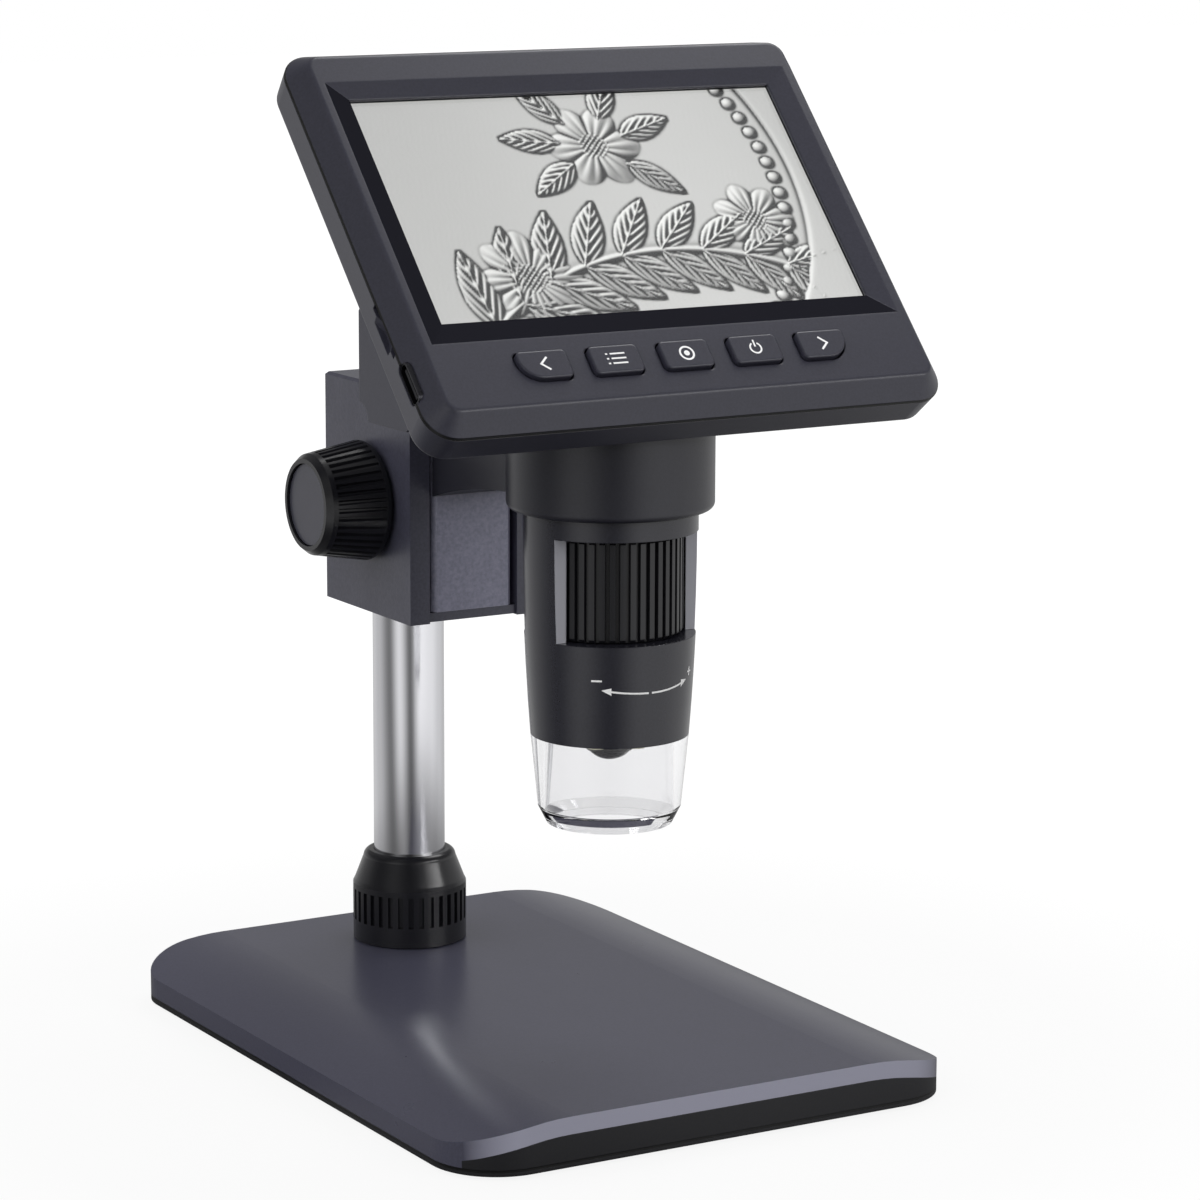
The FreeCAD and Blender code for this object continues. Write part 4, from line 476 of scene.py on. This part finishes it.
def rim(x, y, middle, radius, beads):
    """Part of a raised rim, with a row of beads inside it."""
    dx, dy = x - middle[0], y - middle[1]
    distance = np.hypot(dx, dy) - radius
    band = 1.5 / (1 + np.exp(-distance * 4.0))
    turn = np.arctan2(dy, dx)
    pitch = 2 * math.pi / beads
    local = (np.mod(turn, pitch) - pitch / 2) * radius
    bead = np.clip(1 - (local ** 2 + (distance + 4.2) ** 2) / 1.5 ** 2, 0, 1)
    return band + np.sqrt(bead) * 1.1


def on_circle(middle, radius, turn):
    """A point of a circle in the picture."""
    return middle[0] + radius * math.cos(turn), middle[1] + radius * math.sin(turn)


def relief(x, y):
    """Height of the whole design, in millimetres of the picture."""
    stem_radius, stem_middle, stem_width, stem_end = 66.0, (8.0, -78.0), 0.9, 36
    distance = np.hypot(x - stem_middle[0], y - stem_middle[1]) - stem_radius
    height = np.exp(-(distance / stem_width) ** 2) * (x < stem_end)
    for index in range(9):
        turn = math.radians(131 - index * 8.0)
        foot = on_circle(stem_middle, stem_radius, turn)
        heading = turn - math.pi / 2
        size = 9.4 - 0.3 * index
        opening = 0.95 - 0.04 * index
        for side in (1, -1):
            height = np.maximum(height, leaf(x, y, foot, heading + side * opening, size, size * 0.40))
    crown, crown_radius = FLOWERS[1][:2]
    for degrees in (18, 62, 128, 172, 214, 322):
        turn = math.radians(degrees)
        foot = on_circle(crown, 0.7 * crown_radius, turn)
        height = np.maximum(height, leaf(x, y, foot, turn, 6.5, 2.9))
    for middle, radius, petals in FLOWERS:
        height = np.maximum(height, flower(x, y, middle, radius, petals))
    return np.maximum(height, rim(x, y, (-12, 6), 56.0, 84))


def softened(height, steps):
    """A grid of heights, blurred over some steps each way."""
    for axis in (0, 1):
        padding = [(steps, steps) if side == axis else (0, 0) for side in (0, 1)]
        padded = np.pad(height, padding, mode="edge")
        count = height.shape[axis]
        shifts = range(2 * steps + 1)
        height = sum(np.take(padded, range(shift, shift + count), axis) for shift in shifts)
        height = height / len(shifts)
    return height


def shade(x, y):
    """Brightness of the relief as polished silver under a lamp at the upper left."""
    height = relief(x, y)
    slope_y, slope_x = np.gradient(height, PICTURE_STEP)
    slope_x, slope_y = slope_x * SLOPE_GAIN, slope_y * SLOPE_GAIN
    length = np.sqrt(slope_x ** 2 + slope_y ** 2 + 1)
    facing = (-slope_x * LIGHT[0] - slope_y * LIGHT[1] + LIGHT[2]) / length
    hollow = np.clip(softened(height, 2) - height, 0, 1)
    field = 0.66 + 0.05 * np.sin(x * 0.05 + 0.8) - 0.05 * y / SCREEN_SIZE[1]
    grain = 0.012 * np.sin(x * 5.1 + 3 * np.sin(y * 2.7)) * np.sin(y * 4.3)
    tone = field + grain + CONTRAST * (facing - LIGHT[2]) - HOLLOW_DARK * hollow
    return np.clip(tone, 0.02, 0.98) ** GAMMA


def screen_picture():
    """The lit picture, a fine grid whose corners carry its tones."""
    columns, rows = (int(size / PICTURE_STEP) for size in SCREEN_SIZE)
    x, y = np.meshgrid(*(np.linspace(-size / 2, size / 2, count)
                         for size, count in zip(SCREEN_SIZE, (columns, rows))))
    tones = shade(x, y).ravel()
    depth = reach("screen_window", OUT, SCREEN_MIDDLE)[0] / MM - PICTURE_GAP
    points = [on_screen(across, up, depth) for across, up in zip(x.ravel(), y.ravel())]
    faces = [(r * columns + c, r * columns + c + 1, (r + 1) * columns + c + 1, (r + 1) * columns + c)
             for r in range(rows - 1) for c in range(columns - 1)]
    finish = Finish("picture", (0.01, 0.01, 0.01, 1), 0.6)
    tint = finish.add("ShaderNodeVertexColor", layer_name="Tone")
    finish.link(tint.outputs["Color"], finish.shader.inputs["Emission Color"])
    finish.shader.inputs["Emission Strength"].default_value = 1.0
    piece = mesh_piece("screen_picture", points, faces, finish, "head")
    layer = piece.data.color_attributes.new("Tone", "FLOAT_COLOR", "POINT")
    channels = [tones * share for share in PICTURE_TINT]
    colours = np.stack(channels + [np.ones_like(tones)], axis=1)
    layer.data.foreach_set("color", colours.astype(np.float32).ravel())


def lcd_module():
    """The panel behind the picture: its steel frame as a plain box, just clear of the window."""
    back, front = (end / MM for end in reach("lcd_panel", OUT, SCREEN_MIDDLE))
    low, high = (end / MM for end in reach("lcd_panel", UP, SCREEN_MIDDLE))
    side = reach("lcd_panel", ACROSS)[1] / MM
    corners = [(-side, low), (side, low), (side, high), (-side, high)]
    points = [on_screen(across, up, out) for out in (back, front - PANEL_GAP) for across, up in corners]
    faces = [(3, 2, 1, 0), (4, 5, 6, 7), (0, 1, 5, 4), (1, 2, 6, 5), (2, 3, 7, 6), (3, 0, 4, 7)]
    finish = machined("panel frame", linear(120, 120, 124), 0.4)
    piece = mesh_piece("lcd_module", points, faces, finish, "head")
    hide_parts("lcd_panel")


# A painted line's corners are mitred up to the sharpness where this cosine is reached
MITRE_LEAST = 0.4


def stroke(points, closed):
    """Left and right edges of a painted line through (x, y, width) points, with mitred corners."""
    edges = []
    count = len(points)
    for index, (x, y, width) in enumerate(points):
        before = points[index - 1] if index or closed else None
        after = points[(index + 1) % count] if index < count - 1 or closed else None
        headings = []
        for start, end in ((before, points[index]), (points[index], after)):
            if start and end:
                headings.append(Vector((end[0] - start[0], end[1] - start[1])).normalized())
        heading = (headings[0] + headings[-1]).normalized()
        side = Vector((-heading.y, heading.x))
        half = side * (width / 2 / max(heading.dot(headings[0]), MITRE_LEAST))
        edges.append(((x + half.x, y + half.y), (x - half.x, y - half.y)))
    return edges


def painted(name, lines, wrap, body, thickness=0.05):
    """Thin raised paint: each line is (points, closed), and wrap lays (x, y, out) on a surface."""
    points, faces = [], []
    for line, closed in lines:
        edges = stroke(line, closed)
        first = len(points)
        for left, right in edges:
            points += [wrap(*left, 0), wrap(*left, thickness), wrap(*right, thickness), wrap(*right, 0)]
        count = len(edges)
        for index in range(count if closed else count - 1):
            a = first + 4 * index
            b = first + 4 * ((index + 1) % count)
            faces += [(a + side, b + side, b + side + 1, a + side + 1) for side in range(3)]
        if not closed:
            last = first + 4 * (count - 1)
            faces += [(first, first + 1, first + 2, first + 3), (last + 3, last + 2, last + 1, last)]
    finish = Finish(name + " paint", PAINT, 0.45).grain(0.3, 0.006)
    return mesh_piece(name, points, faces, finish, body)


def circle(radius, width, start=0.0, end=360.0, steps=36):
    """Points of an arc, degrees anticlockwise from the right."""
    turns = [math.radians(start + (end - start) * step / steps) for step in range(steps + 1)]
    return [(radius * math.cos(turn), radius * math.sin(turn), width) for turn in turns]


# Signs on the buttons, as lines of (x, y, width) points that are closed or not
ICON_LINE = 0.42
ICONS = {
    "button_back": [([(0.8, 1.45, ICON_LINE), (-0.8, 0, ICON_LINE), (0.8, -1.45, ICON_LINE)], False)],
    "button_menu": [([(x, y, 0.34), (end, y, 0.34)], False) for y in (1.1, 0, -1.1)
                    for x, end in ((-2.1, -1.65), (-1.1, 2.1))],
    "button_select": [(circle(1.45, 0.4)[:-1], True), (circle(0.3, 0.6)[:-1], True)],
    "button_power": [(circle(1.2, 0.34, 118, 422), False), ([(0, 0.3, 0.34), (0, 1.9, 0.34)], False)],
    "button_next": [([(-0.8, 1.45, ICON_LINE), (0.8, 0, ICON_LINE), (-0.8, -1.45, ICON_LINE)], False)],
}


def button_signs():
    """Plain signs on the five buttons."""
    for name in BUTTONS:
        low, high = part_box(name)
        top = reach(name, OUT, SCREEN_MIDDLE)[1] / MM
        row = sum(reach(name, UP, SCREEN_MIDDLE)) / 2 / MM
        middle = (low.x + high.x) / 2 / MM

        def wrap(x, y, out, middle=middle, row=row, top=top):
            return on_screen(middle + x, row + y, top + out)

        painted(name + "_sign", ICONS[name], wrap, name)


# Marks on the barrel: degrees from the front towards the right, and heights of the part
MARK_LOW = 84.0
MARK_RISE_LEFT, MARK_RISE_RIGHT = 0.7, 1.3
MARK_LEFT, MARK_GAP, MARK_RIGHT = -36.0, -2.0, 33.0
MARK_LINE, PLUS_LINE = 0.36, 0.34
MARK_LIFT, MARK_THICKNESS = 0.02, 0.04
ARROW_LENGTH, ARROW_WIDTH = 1.9, 1.5


def barrel_radius(z):
    """The barrel's own radius at a height, read from its mesh and counted from its axis."""
    rings = {}
    for vertex in NODES["barrel_shell"].data.vertices:
        height = round(vertex.co.z / MM, 2)
        radius = math.hypot(vertex.co.x, vertex.co.y - SCREEN_MIDDLE.y) / MM
        rings[height] = max(rings.get(height, 0), radius)
    below = max(height for height in rings if height <= z)
    above = min(height for height in rings if height >= z)
    share = (z - below) / (above - below) if above > below else 0
    return rings[below] + (rings[above] - rings[below]) * share


def barrel_marks():
    """Minus, double arrow and plus, painted below the focus wheel."""
    def wrap(turn, z, out):
        angle = math.radians(turn)
        here = (barrel_radius(z) + MARK_LIFT + out) * MM
        return Vector((here * math.sin(angle), SCREEN_MIDDLE.y - here * math.cos(angle), z * MM))

    def rise(turn):
        climb = MARK_RISE_LEFT if turn < 0 else MARK_RISE_RIGHT
        return MARK_LOW + climb * (turn / MARK_RIGHT) ** 2

    def arc(start, end, steps=16):
        """Half of the arrow, from its blunt end to its tip."""
        line = []
        for step in range(steps + 1):
            turn = start + (end - start) * step / steps
            line.append((turn, rise(turn), MARK_LINE))
        return line

    # Lengths along the barrel and widths of upright lines become degrees, and the rest stays millimetres
    degrees = math.degrees(1 / barrel_radius(MARK_LOW + 1))
    head = ARROW_LENGTH * degrees
    lines = []
    for start, end in ((MARK_GAP - 1.2, MARK_LEFT), (MARK_GAP + 1.2, MARK_RIGHT)):
        side = 1 if end > start else -1
        shaft_end = end - side * head * 0.7
        lines.append((arc(start, shaft_end), False))
        head_start = end - side * head
        lines.append(([(head_start, rise(head_start), ARROW_WIDTH), (end, rise(end), 0.05)], False))
    minus, plus, height = MARK_LEFT - 3.4, MARK_RIGHT + 4.6, MARK_LOW + 2.7
    lines.append(([(minus - 3.6, height, MARK_LINE), (minus + 3.6, height, MARK_LINE)], False))
    lines.append(([(plus - 2.6, height, PLUS_LINE), (plus + 2.6, height, PLUS_LINE)], False))
    upright = PLUS_LINE * degrees
    lines.append(([(plus, height - 0.9, upright), (plus, height + 0.9, upright)], False))
    painted("barrel_marks", lines, wrap, "head", MARK_THICKNESS)


# The front lens: its radius, how far it bulges and how deep its rim is sunk, then its mesh
DOME_RADIUS, DOME_RISE, DOME_SUNK = 4.3, 2.1, 0.1
DOME_RINGS, DOME_STEPS = 8, 40


def nose_dome():
    """Rounded front lens below the lens cell's nose."""
    foot = Vector((0, SCREEN_MIDDLE.y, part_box("lens_cell")[0].z + DOME_SUNK * MM))
    ball = (DOME_RADIUS ** 2 + DOME_RISE ** 2) / (2 * DOME_RISE)
    points, faces = [], []
    for ring in range(1, DOME_RINGS + 1):
        radius = DOME_RADIUS * ring / DOME_RINGS
        drop = math.sqrt(ball ** 2 - radius ** 2) - (ball - DOME_RISE)
        for step in range(DOME_STEPS):
            turn = 2 * math.pi * step / DOME_STEPS
            points.append(foot + Vector((radius * math.cos(turn), radius * math.sin(turn), -drop)) * MM)
    points.append(foot - UPRIGHT * DOME_RISE * MM)
    tip = len(points) - 1
    for step in range(DOME_STEPS):
        after = (step + 1) % DOME_STEPS
        faces.append((tip, after, step))
        for ring in range(DOME_RINGS - 1):
            near, far = ring * DOME_STEPS, (ring + 1) * DOME_STEPS
            faces.append((near + step, near + after, far + after, far + step))
    finish = Finish("front lens", linear(16, 16, 20), 0.08).vary(0.02, 3.0).grain(2.0, 0.002)
    piece = mesh_piece("nose_dome", points, faces, finish, "lens_cell")
    for face in piece.data.polygons:
        face.use_smooth = True


# The cross in a screw's head: half its length and width, and how far it stands clear
RECESS_LONG, RECESS_WIDE, RECESS_LIFT = 1.1, 0.25, 0.02


def screw_heads():
    """Cross recesses in the case screws and base screws, as painted shade: a near-black cross on each
    head.
    """
    # Painted shade: near-black stands for the shade inside each cross recess
    finish = Finish("recess", linear(8, 8, 9), 0.6).grain(0.3, 0.01)
    spots = []
    for node, axis, body in (("cover_screws", -OUT, "head"), ("base_screws", -UPRIGHT, "base")):
        spots += [(middle, axis, body) for middle in loose_ends(node, axis)]
    for index, (middle, axis, body) in enumerate(spots):
        other = axis.cross(ACROSS)
        points, faces = [], []
        for first, second in ((ACROSS, other), (other, ACROSS)):
            start = len(points)
            for a, b in ((-1, -1), (1, -1), (1, 1), (-1, 1)):
                arm = first * (a * RECESS_LONG) + second * (b * RECESS_WIDE)
                points.append(middle + (axis * RECESS_LIFT + arm) * MM)
            faces.append(tuple(range(start, start + 4)))
        mesh_piece(f"screw_recess_{index + 1}", points, faces, finish, body)


def loose_ends(node, axis):
    """The middle of the outermost face of each separate solid in a CAD node, along an axis."""
    mesh = NODES[node].data
    parent = list(range(len(mesh.vertices)))

    def root(index):
        while parent[index] != index:
            parent[index] = parent[parent[index]]
            index = parent[index]
        return index

    places = {}
    for vertex in mesh.vertices:
        key = tuple(round(value / MM, 2) for value in vertex.co)
        parent[vertex.index] = places.setdefault(key, vertex.index)
    for edge in mesh.edges:
        a, b = (root(index) for index in edge.vertices)
        parent[a] = b
    groups = {}
    for vertex in mesh.vertices:
        groups.setdefault(root(vertex.index), []).append(vertex.co)
    ends = []
    for points in groups.values():
        far = max(point.dot(axis) for point in points)
        rim_points = [point for point in points if point.dot(axis) > far - 0.01 * MM]
        ends.append(sum(rim_points, Vector()) / len(rim_points))
    return ends


# The studio that the part's gloss shows: (bearing from the camera's side towards the right, brightness)
BANDS = ((-180, 0.50), (-138, 0.56), (-114, 0.47), (-69, 0.10), (-35, 0.76), (3, 0.07),
         (41, 0.95), (85, 0.82), (126, 0.60), (160, 0.46))
# The bands fade to this share between two heights of the direction, counted as its upward part
BAND_TOP, CEILING, CEILING_SHARE = 0.20, 0.34, 0.35

# The soft light on matt surfaces: its level from the horizon, its level from this high up, and its
# extra from the left
SOFT_LOW, SOFT_HIGH, SOFT_HEIGHT, SOFT_LEFT = 0.75, 0.5, 0.6, 1.3

# The paper: its size, how far it lies below the part, and its own grey
FLOOR_SIZE, FLOOR_DROP, FLOOR_GREY = 6, 0.00005, 0.08

# What the paper shows with distance from the column: (near, far, value near, value far)
FLOOR_WHITE = (0.12, 0.4, 0.89, 1.02)
FLOOR_GLOSS = (0.12, 0.22, 0.2, 1)

# Lamps: name, place, size and power, all turned to one point
LAMPS = (("top", (0.56, 0.31, 1.0), (0.7, 0.5), 4.0),
         ("edge strip", (0.6, -1.03, 0.45), (0.8, 0.05), 3.2))
LAMP_AIM = Vector((0, 0, 0.1))


def bands(nodes, direction):
    """Upright bright and dark bands all round."""
    towards = Vector((CAMERA_PLACE.x, CAMERA_PLACE.y, 0)).normalized()
    right = Vector((-towards.y, towards.x, 0))
    bearing = nodes.math("ARCTAN2", nodes.along(direction, right), nodes.along(direction, towards))
    ramp = nodes.add("ShaderNodeValToRGB")
    ramp.color_ramp.interpolation = "EASE"
    stops = ramp.color_ramp.elements
    for index, (degrees, brightness) in enumerate(BANDS):
        place = (degrees + 180) / 360
        stop = stops.new(place) if index else stops[0]
        stop.position = place
        stop.color = (brightness, brightness, brightness, 1)
    stops[-1].position = 1.0
    stops[-1].color = stops[0].color
    nodes.link(nodes.spread(bearing, -math.pi, math.pi, 0, 1), ramp.inputs["Fac"])
    return ramp.outputs["Color"]


def seen_directly(nodes, rays):
    """One for what the camera sees, also through clear pieces."""
    return nodes.math("MAXIMUM", rays["Is Camera Ray"], rays["Is Transmission Ray"])


def floor():
    """White paper that throws little light back up."""
    bpy.ops.mesh.primitive_plane_add(size=FLOOR_SIZE, location=(0, 0, -FLOOR_DROP))
    sheet = bpy.context.object
    sheet.name = "floor"
    paper = bpy.data.materials.new("paper")
    paper.use_nodes = True
    nodes = Nodes(paper.node_tree)
    shader = nodes.tree.nodes["Principled BSDF"]
    shader.inputs["Base Color"].default_value = (FLOOR_GREY, FLOOR_GREY, FLOOR_GREY, 1)
    shader.inputs["Roughness"].default_value = 0.9
    shader.inputs["Specular IOR Level"].default_value = 0.0
    shader.inputs["Emission Color"].default_value = (1, 1, 1, 1)
    rays = nodes.add("ShaderNodeLightPath").outputs
    place = nodes.add("ShaderNodeTexCoord").outputs["Object"]
    away = nodes.add("ShaderNodeVectorMath", operation="LENGTH")
    nodes.link(place, away.inputs[0])
    lit = nodes.spread(away.outputs["Value"], *FLOOR_WHITE)
    white = nodes.math("MULTIPLY", lit, seen_directly(nodes, rays))
    dim = nodes.spread(away.outputs["Value"], *FLOOR_GLOSS)
    mirrored = nodes.math("MULTIPLY", bands(nodes, place), dim)
    shown = nodes.math("MULTIPLY", mirrored, rays["Is Glossy Ray"])
    nodes.link(nodes.math("MAXIMUM", white, shown), shader.inputs["Emission Strength"])
    sheet.data.materials.append(paper)


def surroundings():
    """World: white behind the part, bands for its gloss, and soft light from low and the left."""
    world = bpy.data.worlds.new("studio")
    bpy.context.scene.world = world
    world.use_nodes = True
    nodes = Nodes(world.node_tree)
    light = nodes.tree.nodes["Background"]
    light.inputs["Color"].default_value = (1, 1, 1, 1)
    direction = nodes.add("ShaderNodeTexCoord").outputs["Generated"]
    rays = nodes.add("ShaderNodeLightPath").outputs
    height = nodes.along(direction, UPRIGHT)
    fading = nodes.spread(height, BAND_TOP, CEILING, 1, CEILING_SHARE, "SMOOTHSTEP")
    shown = nodes.math("MULTIPLY", bands(nodes, direction), fading)
    low = nodes.spread(height, 0, SOFT_HEIGHT, SOFT_LOW, SOFT_HIGH)
    left = nodes.math("MAXIMUM", nodes.along(direction, -ACROSS), 0)
    soft = nodes.math("ADD", low, nodes.math("MULTIPLY", left, SOFT_LEFT))
    gloss = rays["Is Glossy Ray"]
    matt = nodes.math("SUBTRACT", 1, gloss)
    level = nodes.math("ADD", nodes.math("MULTIPLY", shown, gloss), nodes.math("MULTIPLY", soft, matt))
    nodes.link(nodes.math("MAXIMUM", level, seen_directly(nodes, rays)), light.inputs["Strength"])


def studio():
    """Lamps and camera."""
    for name, place, size, power in LAMPS:
        lamp = bpy.data.lights.new(name, "AREA")
        lamp.shape = "RECTANGLE"
        lamp.size, lamp.size_y = size
        lamp.energy = power
        item = bpy.data.objects.new(name, lamp)
        item.location = place
        item.rotation_euler = (LAMP_AIM - Vector(place)).to_track_quat("-Z", "Y").to_euler()
        bpy.context.scene.collection.objects.link(item)

    view = bpy.data.cameras.new("view")
    view.lens = CAMERA_LENS
    view.sensor_width = CAMERA_SENSOR
    view.clip_start, view.clip_end = CAMERA_RANGE
    camera = bpy.data.objects.new("view", view)
    camera.matrix_world = (Matrix.Translation(CAMERA_PLACE) @ Matrix.Rotation(CAMERA_TURN, 4, "Z")
                           @ Matrix.Rotation(math.pi / 2 - CAMERA_DROP, 4, "X")
                           @ Matrix.Rotation(CAMERA_ROLL, 4, "Z"))
    bpy.context.scene.collection.objects.link(camera)
    bpy.context.scene.camera = camera
    bpy.context.scene.view_settings.view_transform = "Standard"


dress_frame()
screen_picture()
lcd_module()
button_signs()
barrel_marks()
nose_dome()
screw_heads()
floor()
surroundings()
studio()
